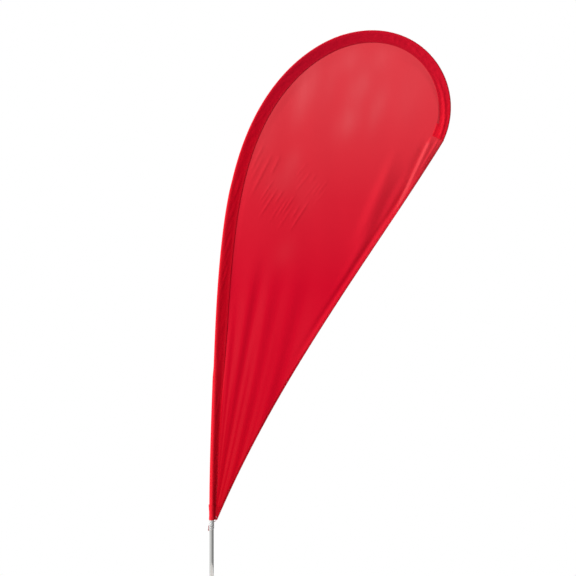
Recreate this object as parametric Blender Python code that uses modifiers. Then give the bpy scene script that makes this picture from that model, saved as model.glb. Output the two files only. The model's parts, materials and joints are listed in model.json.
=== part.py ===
"""Teardrop flag on a bent pole, standing on a folding cross base with a ball-bearing spindle.

Metres, +Z up. The origin is on the floor, on the axis that the pole stands on and the flag turns about.
The cloth lies in the plane y = 0 and flies towards +X.
"""

import math

import bmesh
import bpy
from mathutils import Matrix, Vector

# ---------------------------------------------------------------- driving dimensions
GAP = 0.0003  # between pieces that touch
FLAG_BOTTOM = 0.500  # height of the cloth's lower hem
POLE_TIP = 3.857  # distance along the pole, from the floor, to the end of the sleeve

# The pole's bend: (distance along the pole, curvature in 1/m), straight lines between.
POLE_BEND = (
    (0.50, 0.00),
    (0.60, 0.14),
    (0.75, 0.06),
    (1.20, 0.01),
    (1.80, 0.23),
    (2.30, 0.81),
    (2.80, 1.45),
    (3.30, 2.89),
    (3.80, 2.73),
    (3.90, 2.73),
)

# The sleeve: radius of its inside round the pole, and distance from the pole's axis to its seam.
SLEEVE_FIT = (
    (0.50, 0.0113), (1.17, 0.0113), (1.22, 0.0087), (2.04, 0.0087), (2.10, 0.0072), (2.98, 0.0072),
    (3.04, 0.0063),
)
SLEEVE_SEAM = ((0.50, 0.0132), (0.70, 0.0300), (1.05, 0.0385), (1.40, 0.0500), (1.80, 0.0520), (3.90, 0.0520))
SEAM_HALF_GAP = 0.0004
SLEEVE_WALL = 0.0008
POCKET_LENGTH = 0.066
CLOTH = 0.0012  # thickness of the flat cloth solids
CORNER_X = 0.0265  # the cloth's lower corner, measured from the pole's axis
TRAILING_HOLLOW = 0.047  # how far the free edge is drawn in from a straight line
HOLLOW_SKEW = 1.5  # above 1, the hollow is deepest below the middle
HEM = 0.012
PATCH_HEIGHT = 0.060
PATCH_THICK = 0.003
PANEL_CLEAR = 0.0004  # further gap between the panel and the sleeve's seam
TIP_CLEAR = 0.0018  # between the pocket's closed end and the cloth that passes over it
TIP_TURN = 0.0145  # from the pole's axis to where the cloth's top edge turns down
PANEL_START, HEM_START = 0.008, 0.003  # shares of the free edge where the panel and hem begin
EDGE_STEPS = 30
EYELET = (0.0222, 0.5125)  # x and z of the eyelet's centre
EYELET_BORE, EYELET_BARREL, EYELET_FLANGE = 0.0021, 0.0033, 0.0050  # radii

# Pole sections: from, to, radius at each end.
TUBE_RADIUS, TUBE_WALL = 0.0100, 0.0015
TUBE_FOOT, TUBE_TOP = 0.0886, 1.1300
LOWER_ROD = (1.0800, 1.9790, 0.0065, 0.0065)
MIDDLE_ROD = (1.9860, 2.9310, 0.0050, 0.0050)
TIP_ROD = (2.9370, 3.8300, 0.0036, 0.0030)
# Ferrules: bottom, the rods' joint, top, outside radius below and above the joint, wall.
LOWER_FERRULE = (1.930, 1.9805, 2.030, 0.0078, 0.0063, 0.0009)
UPPER_FERRULE = (2.886, 2.9320, 2.972, 0.0062, 0.0048, 0.0008)

# Cross base.
LEG_LENGTH, LEG_WIDTH, LEG_THICK = 0.800, 0.035, 0.006
LEG_ANGLE = 45  # degrees from +X at rest
FOOT_RADIUS, FOOT_HEIGHT = 0.020, 0.012
FOOT_AT = LEG_LENGTH / 2 - 0.024
LEG_Z = FOOT_HEIGHT + GAP  # underside of the leg ends
LEG_WASHER = 0.0015
UPPER_Z = LEG_Z + LEG_THICK + LEG_WASHER + 2 * GAP  # underside of the upper leg's middle
CRANK_FROM, CRANK_TO = 0.110, 0.128  # where the upper leg steps down to its ends
PIVOT_HOLE, PIVOT_RADIUS = 0.0064, 0.0060

# Rotator hub.
HUB_Z = UPPER_Z + LEG_THICK + GAP
HUB_BOLT_CIRCLE = 0.0297
BEARING = 0.009  # width of each ball bearing
OUTER_RACE = (0.0132, 0.0141, 0.0157)  # radii of the land, the groove and the plain wall
INNER_RACE = (0.0100, 0.0091, 0.0077)
BALL_PITCH, BALL_RADIUS, BALLS = 0.0116, 0.0021, 7
LOWER_BEARING_Z = 0.0463
UPPER_BEARING_Z = 0.0649
SPINDLE_TOP = 0.285
SEAT_Z = 0.085  # top of the spindle's flange, where the pole stands

# Tension collar.
COLLAR_RADIUS, COLLAR_BORE = 0.0117, 0.01035
COLLAR_LOW, COLLAR_HIGH = 0.4440, 0.4965
PEG_Z, PEG_RADIUS = 0.4540, 0.0034
KNOB_Z = 0.4600
CORD_RADIUS = 0.00125


# ---------------------------------------------------------------- scene, materials, placing
def clear_scene():
    for obj in list(bpy.data.objects):
        bpy.data.objects.remove(obj)


def new_collection(name):
    collection = bpy.data.collections.new(name)
    bpy.context.scene.collection.children.link(collection)
    return collection


clear_scene()
PARTS = new_collection("teardrop_flag")
HELPERS = new_collection("cutters")


def material(name, colour, roughness, metallic=0.0):
    made = bpy.data.materials.new(name)
    made.use_nodes = True
    shader = made.node_tree.nodes["Principled BSDF"]
    shader.inputs["Base Color"].default_value = (*colour, 1)
    shader.inputs["Roughness"].default_value = roughness
    shader.inputs["Metallic"].default_value = metallic
    return made


PANEL_CLOTH = material("panel_cloth", (0.62, 0.01, 0.03), 0.75)
SLEEVE_CLOTH = material("sleeve_cloth", (0.45, 0.0, 0.012), 0.7)
ELASTIC = material("elastic", (0.55, 0.02, 0.03), 0.8)
ALUMINIUM = material("aluminium", (0.72, 0.73, 0.74), 0.35, 1.0)
FIBREGLASS = material("fibreglass", (0.75, 0.75, 0.72), 0.45)
ZINC_STEEL = material("zinc_steel", (0.6, 0.6, 0.6), 0.35, 1.0)
BEARING_STEEL = material("bearing_steel", (0.65, 0.65, 0.66), 0.2, 1.0)
COATED_STEEL = material("coated_steel", (0.30, 0.31, 0.32), 0.5)
NYLON = material("white_nylon", (0.78, 0.78, 0.76), 0.5)
RUBBER = material("black_rubber", (0.02, 0.02, 0.02), 0.85)
BRASS = material("brass", (0.7, 0.5, 0.2), 0.35, 1.0)
RED_LACQUER = material("red_lacquer", (0.45, 0.01, 0.02), 0.4)


def empty(name, location=(0, 0, 0), parent=None):
    made = bpy.data.objects.new(name, None)
    PARTS.objects.link(made)
    made.parent = parent
    made.location = location
    return made


def place(obj, mat, parent, location=(0, 0, 0), rotation=(0, 0, 0)):
    """Puts a made object in the parts collection, in its parent's frame."""
    for collection in list(obj.users_collection):
        collection.objects.unlink(obj)
    PARTS.objects.link(obj)
    obj.data.materials.clear()
    obj.data.materials.append(mat)
    obj.parent = parent
    obj.location = location
    obj.rotation_euler = rotation
    return obj


def mesh_object(name, mesh):
    obj = bpy.data.objects.new(name, mesh)
    PARTS.objects.link(obj)
    return obj


def smooth(mesh, angle=35):
    mesh.shade_smooth()
    mesh.set_sharp_from_angle(angle=math.radians(angle))


def baked(obj):
    """The object with its modifiers and curve turned into a closed mesh, in place."""
    bpy.context.view_layer.update()
    graph = bpy.context.evaluated_depsgraph_get()
    mesh = bpy.data.meshes.new_from_object(obj.evaluated_get(graph))
    work = bmesh.new()
    work.from_mesh(mesh)
    bmesh.ops.remove_doubles(work, verts=work.verts, dist=1e-6)
    work.to_mesh(mesh)
    work.free()
    made = mesh_object(obj.name + "_baked", mesh)
    made.matrix_world = obj.matrix_world
    name = obj.name
    bpy.data.objects.remove(obj)
    made.name = name
    return made


# ---------------------------------------------------------------- shapes
def turned(name, profile, steps=20, ring=False):
    """A shape turned about Z. The profile is (radius, z), down the outer side; a ring's closes on itself."""
    mesh = bpy.data.meshes.new(name)
    edges = [(i, i + 1) for i in range(len(profile) - 1)]
    if ring:
        edges.append((len(profile) - 1, 0))
    mesh.from_pydata([(r, 0, z) for r, z in profile], edges, [])
    obj = mesh_object(name, mesh)
    screw = obj.modifiers.new("turn", "SCREW")
    screw.axis = "Z"
    screw.steps = steps
    screw.render_steps = steps
    screw.use_merge_vertices = True
    screw.merge_threshold = 0.00001
    made = baked(obj)
    smooth(made.data)
    return made


def circle(radius, sides, centre=(0, 0)):
    turns = [math.tau * i / sides for i in range(sides)]
    return [(centre[0] + radius * math.cos(t), centre[1] + radius * math.sin(t)) for t in turns]


def hexagon(across_flats):
    return circle(across_flats / math.sqrt(3), 6)


def stadium(length, width, sides=10):
    """A bar's outline with half-round ends."""
    reach, r = (length - width) / 2, width / 2
    turns = [math.pi * i / sides - math.pi / 2 for i in range(sides + 1)]
    right = [(reach + r * math.cos(t), r * math.sin(t)) for t in turns]
    return right + [(-x, -y) for x, y in right]


def plate(name, outline, thickness, holes=()):
    """A flat piece, centred on z = 0, cut to an outline in X and Y."""
    curve = bpy.data.curves.new(name, "CURVE")
    curve.dimensions = "2D"
    curve.fill_mode = "BOTH"
    curve.extrude = thickness / 2
    for points in (outline, *holes):
        spline = curve.splines.new("POLY")
        spline.points.add(len(points) - 1)
        for point, (x, y) in zip(spline.points, points):
            point.co = (x, y, 0, 1)
        spline.use_cyclic_u = True
    obj = bpy.data.objects.new(name, curve)
    PARTS.objects.link(obj)
    return obj


def cylinder(name, radius, low, high, sides=24):
    """A cylinder on the Z axis from low to high."""
    work = bmesh.new()
    bmesh.ops.create_cone(
        work, cap_ends=True, segments=sides, radius1=radius, radius2=radius, depth=high - low
    )
    bmesh.ops.translate(work, verts=work.verts, vec=(0, 0, (low + high) / 2))
    mesh = bpy.data.meshes.new(name)
    work.to_mesh(mesh)
    work.free()
    smooth(mesh)
    return mesh_object(name, mesh)


def combine(obj, other, operation):
    """Cuts other from obj, joins it to obj or keeps what they share; other stays as a hidden helper."""
    PARTS.objects.unlink(other)
    HELPERS.objects.link(other)
    other.hide_render = True
    other.display_type = "WIRE"
    modifier = obj.modifiers.new(other.name, "BOOLEAN")
    modifier.operation = operation
    modifier.object = other
    return obj


def turn_to(obj, location=(0, 0, 0), rotation=(0, 0, 0)):
    obj.location = location
    obj.rotation_euler = rotation
    return obj


# ---------------------------------------------------------------- the pole's axis
def between(table, at):
    """The table's value at a distance, on straight lines between its rows."""
    if at <= table[0][0]:
        return table[0][1]
    for (a, low), (b, high) in zip(table, table[1:]):
        if at <= b:
            return low + (high - low) * (at - a) / (b - a)
    return table[-1][1]


AXIS_STEP, AXIS_LENGTH = 0.002, 3.9


def walk_axis():
    """(x, z, heading) at each step along the pole. Heading is 0 straight up and grows towards +X."""
    x, z, heading = 0.0, 0.0, 0.0
    found = [(x, z, heading)]
    for i in range(round(AXIS_LENGTH / AXIS_STEP)):
        turn = between(POLE_BEND, (i + 0.5) * AXIS_STEP) * AXIS_STEP
        x += math.sin(heading + turn / 2) * AXIS_STEP
        z += math.cos(heading + turn / 2) * AXIS_STEP
        heading += turn
        found.append((x, z, heading))
    return found


AXIS = walk_axis()


def axis_at(along):
    i = min(int(along / AXIS_STEP), len(AXIS) - 2)
    share = along / AXIS_STEP - i
    return tuple(a + (b - a) * share for a, b in zip(AXIS[i], AXIS[i + 1]))


def off_axis(along, outward, across=0.0):
    """A point beside the pole: outward is away from the cloth, across is along +Y."""
    x, z, heading = axis_at(along)
    return Vector((x - math.cos(heading) * outward, across, z + math.sin(heading) * outward))


def stations(low, high, sag=0.00015, longest=0.10):
    """Distances along the pole whose straight runs stay within sag of its bend."""
    found = [low]
    while found[-1] < high:
        bend = max(between(POLE_BEND, found[-1]), 0.01)
        found.append(found[-1] + min(longest, math.sqrt(8 * sag / bend)))
    stretch = (high - low) / (found[-1] - low)
    return [low + (along - low) * stretch for along in found]


def rod_along(name, points, radii, sides, wall=None):
    """A round bar, or with a wall a tube, along points on the pole's axis. Radii are the outside."""
    curve = bpy.data.curves.new(name, "CURVE")
    curve.dimensions = "3D"
    curve.bevel_depth = radii[0]
    curve.bevel_resolution = (sides - 4) // 2
    curve.use_fill_caps = wall is None
    spline = curve.splines.new("POLY")
    spline.points.add(len(points) - 1)
    for point, place_at, radius in zip(spline.points, points, radii):
        point.co = (*place_at, 1)
        point.radius = radius / radii[0]
    obj = bpy.data.objects.new(name, curve)
    PARTS.objects.link(obj)
    if wall:
        solid = obj.modifiers.new("wall", "SOLIDIFY")
        solid.thickness = wall
        solid.offset = -1
    made = baked(obj)
    smooth(made.data)
    return made


def pole_piece(name, low, high, radius_low, radius_high, sides, wall=None):
    along = stations(low, high)
    radii = [radius_low + (radius_high - radius_low) * (s - low) / (high - low) for s in along]
    return rod_along(name, [off_axis(s, 0) for s in along], radii, sides, wall)


def ferrule(name, low, joint, high, radius_low, radius_high, wall):
    """A metal sleeve that steps down from the thick rod to the thin one."""
    lower, upper = stations(low, joint), stations(joint + 0.003, high)
    points = [off_axis(s, 0) for s in lower + upper]
    radii = [radius_low] * len(lower) + [radius_high] * len(upper)
    return rod_along(name, points, radii, 16, wall)


def stand_on_axis(obj, along):
    """Sets a turned piece on the pole's axis, its +Z along the pole."""
    obj.location = off_axis(along, 0)
    obj.rotation_euler = (0, axis_at(along)[2], 0)
    return obj


# ---------------------------------------------------------------- cross base
def make_leg_parts(root, lower_body):
    """Two flat bars crossing under the hub, one cranked so that all four ends are level."""
    holes = [circle(PIVOT_HOLE, 20), circle(0.0027, 10, (FOOT_AT, 0)), circle(0.0027, 10, (-FOOT_AT, 0))]
    lower = plate("lower_leg", stadium(LEG_LENGTH, LEG_WIDTH), LEG_THICK, holes)
    place(lower, COATED_STEEL, lower_body, (0, 0, LEG_Z + LEG_THICK / 2), (0, 0, -math.radians(LEG_ANGLE)))

    step = UPPER_Z - LEG_Z
    half = [(CRANK_FROM, step), (CRANK_TO, 0), (LEG_LENGTH / 2 + 0.01, 0)]
    under = [(-x, z) for x, z in reversed(half)] + half
    side = under + [(x, z + LEG_THICK) for x, z in reversed(under)]
    bar = plate("upper_leg", side, LEG_WIDTH + 0.01)
    bar = baked(turn_to(bar, (0, 0, LEG_Z), (math.pi / 2, 0, 0)))
    holes += [circle(0.0033, 12, (x, 0)) for x in (HUB_BOLT_CIRCLE, -HUB_BOLT_CIRCLE)]
    shape = plate("upper_leg_outline", stadium(LEG_LENGTH, LEG_WIDTH), 0.1, holes)
    combine(bar, baked(shape), "INTERSECT")
    bar = baked(bar)
    bar.data.transform(bar.matrix_world)
    place(bar, COATED_STEEL, root, (0, 0, 0), (0, 0, math.radians(LEG_ANGLE)))


def make_feet(root, lower_body):
    """A rubber foot, its screw from below and a cap nut on top, at each end of each leg."""
    foot = turned(
        "foot",
        [
            (0.0028, FOOT_HEIGHT), (FOOT_RADIUS, FOOT_HEIGHT), (FOOT_RADIUS, 0.0030),
            (FOOT_RADIUS - 0.002, 0.0), (0.0065, 0.0), (0.0065, 0.0042), (0.0028, 0.0042),
        ],
        ring=True,
    )
    screw = turned(
        "foot_screw",
        [(0, 0.0232), (0.0025, 0.0232), (0.0025, 0.0039), (0.0050, 0.0039), (0.0047, 0.0020), (0, 0.0008)],
        12,
    )
    nut_low = LEG_Z + LEG_THICK + GAP
    nut = plate("foot_nut", hexagon(0.008), 0.004)
    nut = baked(turn_to(nut, (0, 0, nut_low + 0.002)))
    dome = turned(
        "nut_dome",
        [(0, 0.0078), (0.0022, 0.0071), (0.0036, 0.0052), (0.0036, 0.0020), (0, 0.0020)],
        12,
    )
    combine(nut, turn_to(dome, (0, 0, nut_low)), "UNION")
    combine(nut, cylinder("nut_thread", 0.0028, nut_low - 0.01, nut_low + 0.0050, 12), "DIFFERENCE")
    nut = baked(nut)
    nut.data.transform(nut.matrix_world)
    nut.matrix_world = Matrix()

    ends = (
        ("back_right", root, LEG_ANGLE), ("front_left", root, LEG_ANGLE + 180),
        ("front_right", lower_body, -LEG_ANGLE), ("back_left", lower_body, 180 - LEG_ANGLE),
    )
    for where, body, degrees in ends:
        turn = math.radians(degrees)
        spot = (FOOT_AT * math.cos(turn), FOOT_AT * math.sin(turn), 0)
        for piece, mat in ((foot, RUBBER), (screw, ZINC_STEEL), (nut, ZINC_STEEL)):
            copy = mesh_object(f"{piece.name}_{where}", piece.data.copy())
            place(copy, mat, body, spot, (0, 0, turn))
    for piece in (foot, screw, nut):
        bpy.data.objects.remove(piece)


def bolt(name, across_flats, head, radius, length, sides=20):
    """A hex bolt, head upwards, with the underside of its head at z = 0."""
    made = baked(turn_to(plate(name, hexagon(across_flats), head), (0, 0, head / 2)))
    made.data.transform(made.matrix_world)
    made.matrix_world = Matrix()
    combine(made, cylinder(name + "_shank", radius, -length, head / 2, sides), "UNION")
    made = baked(made)
    smooth(made.data)
    return made


def make_pivot(root):
    """The bolt that the legs turn about, with its washers, lock nut and floor-saving cap."""
    head_z = HUB_Z + 0.0076
    place(bolt("pivot_bolt", 0.018, 0.0075, PIVOT_RADIUS, head_z - 0.0026), ZINC_STEEL, root, (0, 0, head_z))
    between_legs = plate("leg_washer", circle(0.020, 24), LEG_WASHER, [circle(PIVOT_HOLE, 16)])
    place(between_legs, NYLON, root, (0, 0, LEG_Z + LEG_THICK + GAP + LEG_WASHER / 2))
    under_legs = plate("pivot_washer", circle(0.014, 20), 0.0011, [circle(PIVOT_HOLE, 16)])
    place(under_legs, ZINC_STEEL, root, (0, 0, LEG_Z - GAP - 0.00055))
    lock_nut = plate("lock_nut", hexagon(0.018), 0.0075, [circle(PIVOT_HOLE, 16)])
    place(lock_nut, ZINC_STEEL, root, (0, 0, 0.00675))
    cap = turned(
        "nut_cap",
        [
            (0, 0.0018), (0.0112, 0.0018), (0.0112, 0.0104), (0.0138, 0.0104), (0.0150, 0.0090),
            (0.0150, 0.0010), (0.0140, 0.0), (0, 0.0),
        ],
        24,
    )
    place(cap, RUBBER, root)


# ---------------------------------------------------------------- rotator
def make_hub(root):
    """The housing bolted to the upper leg, and the cap that holds the upper bearing in."""
    floor, shoulder, top = HUB_Z + 0.0073, 0.0460, 0.0760
    housing = turned(
        "hub_housing",
        [
            (PIVOT_HOLE, floor), (0.0135, floor), (0.0135, shoulder), (0.0160, shoulder), (0.0160, top),
            (0.0220, top), (0.0220, HUB_Z + 0.0080), (0.0228, HUB_Z + 0.0060), (0.0245, HUB_Z + 0.0050),
            (0.0340, HUB_Z + 0.0050), (0.0350, HUB_Z + 0.0040), (0.0350, HUB_Z), (PIVOT_HOLE, HUB_Z),
        ],
        28,
        ring=True,
    )
    for side, sign in (("back", 1), ("front", -1)):
        turn = math.radians(LEG_ANGLE)
        x, y = (sign * HUB_BOLT_CIRCLE * f(turn) for f in (math.cos, math.sin))
        drill = cylinder(f"hub_hole_{side}", 0.0033, HUB_Z - 0.01, HUB_Z + 0.02, 16)
        combine(housing, turn_to(drill, (x, y, 0)), "DIFFERENCE")
        screw = bolt(f"hub_bolt_{side}", 0.008, 0.0040, 0.0030, HUB_Z + 0.0053 - UPPER_Z - 0.0005, 16)
        place(screw, ZINC_STEEL, root, (x, y, HUB_Z + 0.0053), (0, 0, turn))
    housing = baked(housing)
    smooth(housing.data)
    place(housing, COATED_STEEL, root)
    cap = turned(
        "dust_cap",
        [
            (0.0130, 0.0788), (0.0236, 0.0788), (0.0246, 0.0778), (0.0246, 0.0660), (0.0223, 0.0660),
            (0.0223, 0.0763), (0.0156, 0.0763), (0.0156, 0.0743), (0.0130, 0.0743),
        ],
        28,
        ring=True,
    )
    place(cap, RUBBER, root)


def race(name, land, groove, wall, low):
    """A bearing ring: its running side at radius land with a groove, and its plain wall."""
    mid, high = low + BEARING / 2, low + BEARING
    running = [(land, mid + 0.0026), (groove, mid + 0.0012), (groove, mid - 0.0012), (land, mid - 0.0026)]
    if wall > land:
        running.reverse()
        profile = [(wall, high), (wall, low), (land, low), *running, (land, high)]
    else:
        profile = [(land, high), *running, (land, low), (wall, low), (wall, high)]
    return turned(name, profile, 20, ring=True)


def ball_set(name, low):
    """The balls of one bearing, held in their cage."""
    mid, half_width, half_height = low + BEARING / 2, 0.0006, 0.001
    inside, outside = BALL_PITCH - half_width, BALL_PITCH + half_width
    upper, lower = mid + half_height, mid - half_height
    section = [(inside, upper), (outside, upper), (outside, lower), (inside, lower)]
    cage = turned(name, section, 3 * BALLS, ring=True)
    work = bmesh.new()
    for i in range(BALLS):
        turn = math.tau * i / BALLS
        spot = Matrix.Translation((BALL_PITCH * math.cos(turn), BALL_PITCH * math.sin(turn), mid))
        bmesh.ops.create_uvsphere(work, u_segments=6, v_segments=4, radius=BALL_RADIUS, matrix=spot)
    mesh = bpy.data.meshes.new(name + "_balls")
    work.to_mesh(mesh)
    work.free()
    combine(cage, mesh_object(name + "_balls", mesh), "UNION")
    cage = baked(cage)
    smooth(cage.data, 60)
    return cage


def make_rotator(root, spinning, rolling):
    """Two ball bearings and the spindle that the pole stands on."""
    for which, low in (("lower", LOWER_BEARING_Z), ("upper", UPPER_BEARING_Z)):
        place(race(f"{which}_bearing_outer_ring", *OUTER_RACE, low), BEARING_STEEL, root)
        place(race(f"{which}_bearing_inner_ring", *INNER_RACE, low), BEARING_STEEL, spinning)
        place(ball_set(f"{which}_bearing_balls", low), BEARING_STEEL, rolling)
    high, low = UPPER_BEARING_Z - GAP, LOWER_BEARING_Z + BEARING + GAP
    section = [(0.0077, high), (0.0096, high), (0.0096, low), (0.0077, low)]
    spacer = turned("bearing_spacer", section, 20, ring=True)
    place(spacer, ALUMINIUM, spinning)
    gap = math.radians(16)
    turns = [gap + (math.tau - 2 * gap) * i / 24 for i in range(25)]
    outside = [(0.0098 * math.cos(t), 0.0098 * math.sin(t)) for t in turns]
    inside = [(0.0070 * math.cos(t), 0.0070 * math.sin(t)) for t in reversed(turns)]
    place(plate("retaining_ring", outside + inside, 0.0011), ZINC_STEEL, spinning, (0, 0, 0.04535))
    spindle = turned(
        "spindle",
        [
            (0, SPINDLE_TOP), (0.0055, SPINDLE_TOP), (0.0082, SPINDLE_TOP - 0.008), (0.0082, SEAT_Z),
            (0.0160, SEAT_Z), (0.0170, SEAT_Z - 0.001), (0.0170, 0.0810), (0.0160, 0.0800), (0.0100, 0.0800),
            (0.0100, 0.0742), (0.0073, 0.0742), (0.0073, 0.0460), (0.0066, 0.0460), (0.0066, 0.0447),
            (0.0073, 0.0447), (0.0073, 0.0436), (0.0068, 0.0430), (0, 0.0430),
        ],
        24,
    )
    place(spindle, ZINC_STEEL, spinning)


# ---------------------------------------------------------------- pole
def make_pole(pole):
    """An aluminium tube below, then three fibreglass rods that plug together in metal sleeves."""
    ring = turned(
        "pole_foot_ring",
        [
            (0.0103, 0.1150), (0.0118, 0.1150), (0.0125, 0.1140), (0.0125, 0.0865), (0.0115, SEAT_Z + GAP),
            (0.0087, SEAT_Z + GAP), (0.0087, TUBE_FOOT - GAP), (0.0103, TUBE_FOOT - GAP),
        ],
        24,
        ring=True,
    )
    place(ring, RUBBER, pole)
    tube = pole_piece("lower_tube", TUBE_FOOT, TUBE_TOP, TUBE_RADIUS, TUBE_RADIUS, 24, TUBE_WALL)
    place(tube, ALUMINIUM, pole)
    socket = turned(
        "tube_socket",
        [
            (0.0068, 0.0120), (0.0090, 0.0120), (0.0100, 0.0110), (0.0100, GAP), (0.0082, GAP),
            (0.0082, -0.0580), (0.0075, -0.0600), (0.0068, -0.0600),
        ],
        20,
        ring=True,
    )
    place(socket, ALUMINIUM, pole)
    stand_on_axis(socket, TUBE_TOP)
    for name, rod in (("lower_rod", LOWER_ROD), ("middle_rod", MIDDLE_ROD), ("tip_rod", TIP_ROD)):
        place(pole_piece(name, *rod, 10), FIBREGLASS, pole)
    place(ferrule("lower_ferrule", *LOWER_FERRULE), ZINC_STEEL, pole)
    place(ferrule("upper_ferrule", *UPPER_FERRULE), ZINC_STEEL, pole)
    cap = turned(
        "tip_cap",
        [
            (0, 0.0050), (0.0026, 0.0043), (0.0043, 0.0020), (0.0048, -0.0010), (0.0048, -0.0140),
            (0.0034, -0.0140), (0.0034, 0.0010), (0, 0.0010),
        ],
        16,
    )
    place(cap, RUBBER, pole)
    stand_on_axis(cap, TIP_ROD[1])


# ---------------------------------------------------------------- cloth
def sleeve_section(along):
    """The sleeve's inside at one station, as (outward, across) points: round the pole, flat to the seam."""
    radius, seam = between(SLEEVE_FIT, along), between(SLEEVE_SEAM, along)
    lean = math.atan2(SEAM_HALF_GAP, seam)
    leave = lean + math.acos(radius / math.hypot(seam, SEAM_HALF_GAP))
    steps = 8
    turns = [leave + (math.tau - 2 * leave) * i / steps for i in range(steps + 1)]
    return (
        [(-seam, SEAM_HALF_GAP)]
        + [(-radius * math.cos(t), radius * math.sin(t)) for t in turns]
        + [(-seam, -SEAM_HALF_GAP)]
    )


def sleeve_shell(name, along, closed_end, wall):
    """A run of the sleeve as a shell, open below and, where it is the tip pocket, closed above."""
    work = bmesh.new()
    rings = [[work.verts.new(off_axis(s, *point)) for point in sleeve_section(s)] for s in along]
    count = len(rings[0])
    for lower, upper in zip(rings, rings[1:]):
        for i in range(count):
            j = (i + 1) % count
            work.faces.new((lower[i], lower[j], upper[j], upper[i]))
    if closed_end:
        work.faces.new(rings[-1])
    mesh = bpy.data.meshes.new(name)
    work.to_mesh(mesh)
    work.free()
    obj = mesh_object(name, mesh)
    solid = obj.modifiers.new("cloth", "SOLIDIFY")
    solid.thickness = wall
    solid.offset = 1
    return obj


CLOTH_STATIONS = stations(FLAG_BOTTOM, POLE_TIP - POCKET_LENGTH, 0.0004)
POCKET_STATIONS = [POLE_TIP - POCKET_LENGTH * share for share in (1 - GAP / POCKET_LENGTH, 0.66, 0.33, 0)]


def seam_point(along, extra=0.0):
    """A point on the cloth's side of the sleeve's seam."""
    return off_axis(along, -(between(SLEEVE_SEAM, along) + SLEEVE_WALL + GAP + extra))


def trailing_point(share, inset=0.0):
    """A point on the free edge, from the tip pocket at 0 to the lower corner at 1, inset into the cloth."""
    top = off_axis(POLE_TIP + 0.0020, between(SLEEVE_FIT, POLE_TIP) + SLEEVE_WALL)
    low = Vector((CORNER_X, 0, FLAG_BOTTOM))
    run = low - top
    inward = Vector((run.z, 0, -run.x)).normalized()
    bent = share**HOLLOW_SKEW
    slope = 4 * TRAILING_HOLLOW * (1 - 2 * bent) * HOLLOW_SKEW * share ** (HOLLOW_SKEW - 1)
    square_to_edge = (inward * run.length - run.normalized() * slope).normalized()
    return top + run * share + inward * 4 * TRAILING_HOLLOW * bent * (1 - bent) + square_to_edge * inset


def flat_cloth(name, outline, mat, pole, thickness=CLOTH, holes=()):
    """A flat piece of cloth standing in the plane y = 0, from an outline of points in space."""
    flat = [(p[0], p[2]) for p in outline]
    piece = plate(name, flat, thickness, holes)
    place(piece, mat, pole, (0, 0, 0), (math.pi / 2, 0, 0))


def share_at_height(height, inset):
    """Where along the free edge its inset line reaches a height."""
    low, high = 0.9, 1.0
    for _ in range(40):
        mid = (low + high) / 2
        if trailing_point(mid, inset).z > height:
            low = mid
        else:
            high = mid
    return low


def edge_line(first, height, inset):
    """The free edge's line at an inset, from a share of its length down to a height."""
    last = share_at_height(height, inset)
    return [trailing_point(first + (last - first) * i / EDGE_STEPS, inset) for i in range(EDGE_STEPS + 1)]


def make_cloth(pole):
    """The sewn flag: sleeve, tip pocket, panel, hem, lower corner patch and eyelet."""
    place(sleeve_shell("pole_sleeve", CLOTH_STATIONS, False, SLEEVE_WALL), SLEEVE_CLOTH, pole)
    place(sleeve_shell("tip_pocket", POCKET_STATIONS, True, SLEEVE_WALL * 1.5), SLEEVE_CLOTH, pole)

    patch_top = FLAG_BOTTOM + PATCH_HEIGHT
    seam = [seam_point(s, PANEL_CLEAR) for s in (*CLOTH_STATIONS, *POCKET_STATIONS) if s > patch_top]
    first = seam_point(patch_top + GAP, PANEL_CLEAR)
    beyond = POLE_TIP + TIP_CLEAR + GAP
    top = [off_axis(beyond, -(between(SLEEVE_SEAM, beyond) + 0.001)), off_axis(beyond, -TIP_TURN)]
    edge = edge_line(PANEL_START, patch_top + GAP, HEM + GAP)
    flat_cloth("flag_panel", [first, *seam, *top, *edge], PANEL_CLOTH, pole)

    outside = edge_line(HEM_START, patch_top + GAP, 0)
    inside = edge_line(PANEL_START, patch_top + GAP, HEM)
    flat_cloth("trailing_hem", [*outside, *reversed(inside)], SLEEVE_CLOTH, pole, CLOTH * 1.5)

    seam = [seam_point(FLAG_BOTTOM + PATCH_HEIGHT * share) for share in (0, 0.33, 0.66, 1)]
    edge = [trailing_point(share_at_height(patch_top, 0)), trailing_point(1)]
    hole = circle(EYELET_BARREL + GAP, 16, EYELET)
    flat_cloth("corner_patch", [*seam, *edge], SLEEVE_CLOTH, pole, PATCH_THICK, [hole])

    eyelet = turned(
        "eyelet",
        [
            (EYELET_BORE, 0.0020), (0.0036, 0.0026), (EYELET_FLANGE, 0.0021), (EYELET_FLANGE, 0.0018),
            (EYELET_BARREL, 0.0018), (EYELET_BARREL, -0.0018), (EYELET_FLANGE, -0.0018),
            (EYELET_FLANGE, -0.0021), (0.0036, -0.0026), (EYELET_BORE, -0.0020),
        ],
        16,
        ring=True,
    )
    place(eyelet, RED_LACQUER, pole, (EYELET[0], 0, EYELET[1]), (math.pi / 2, 0, 0))


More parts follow.
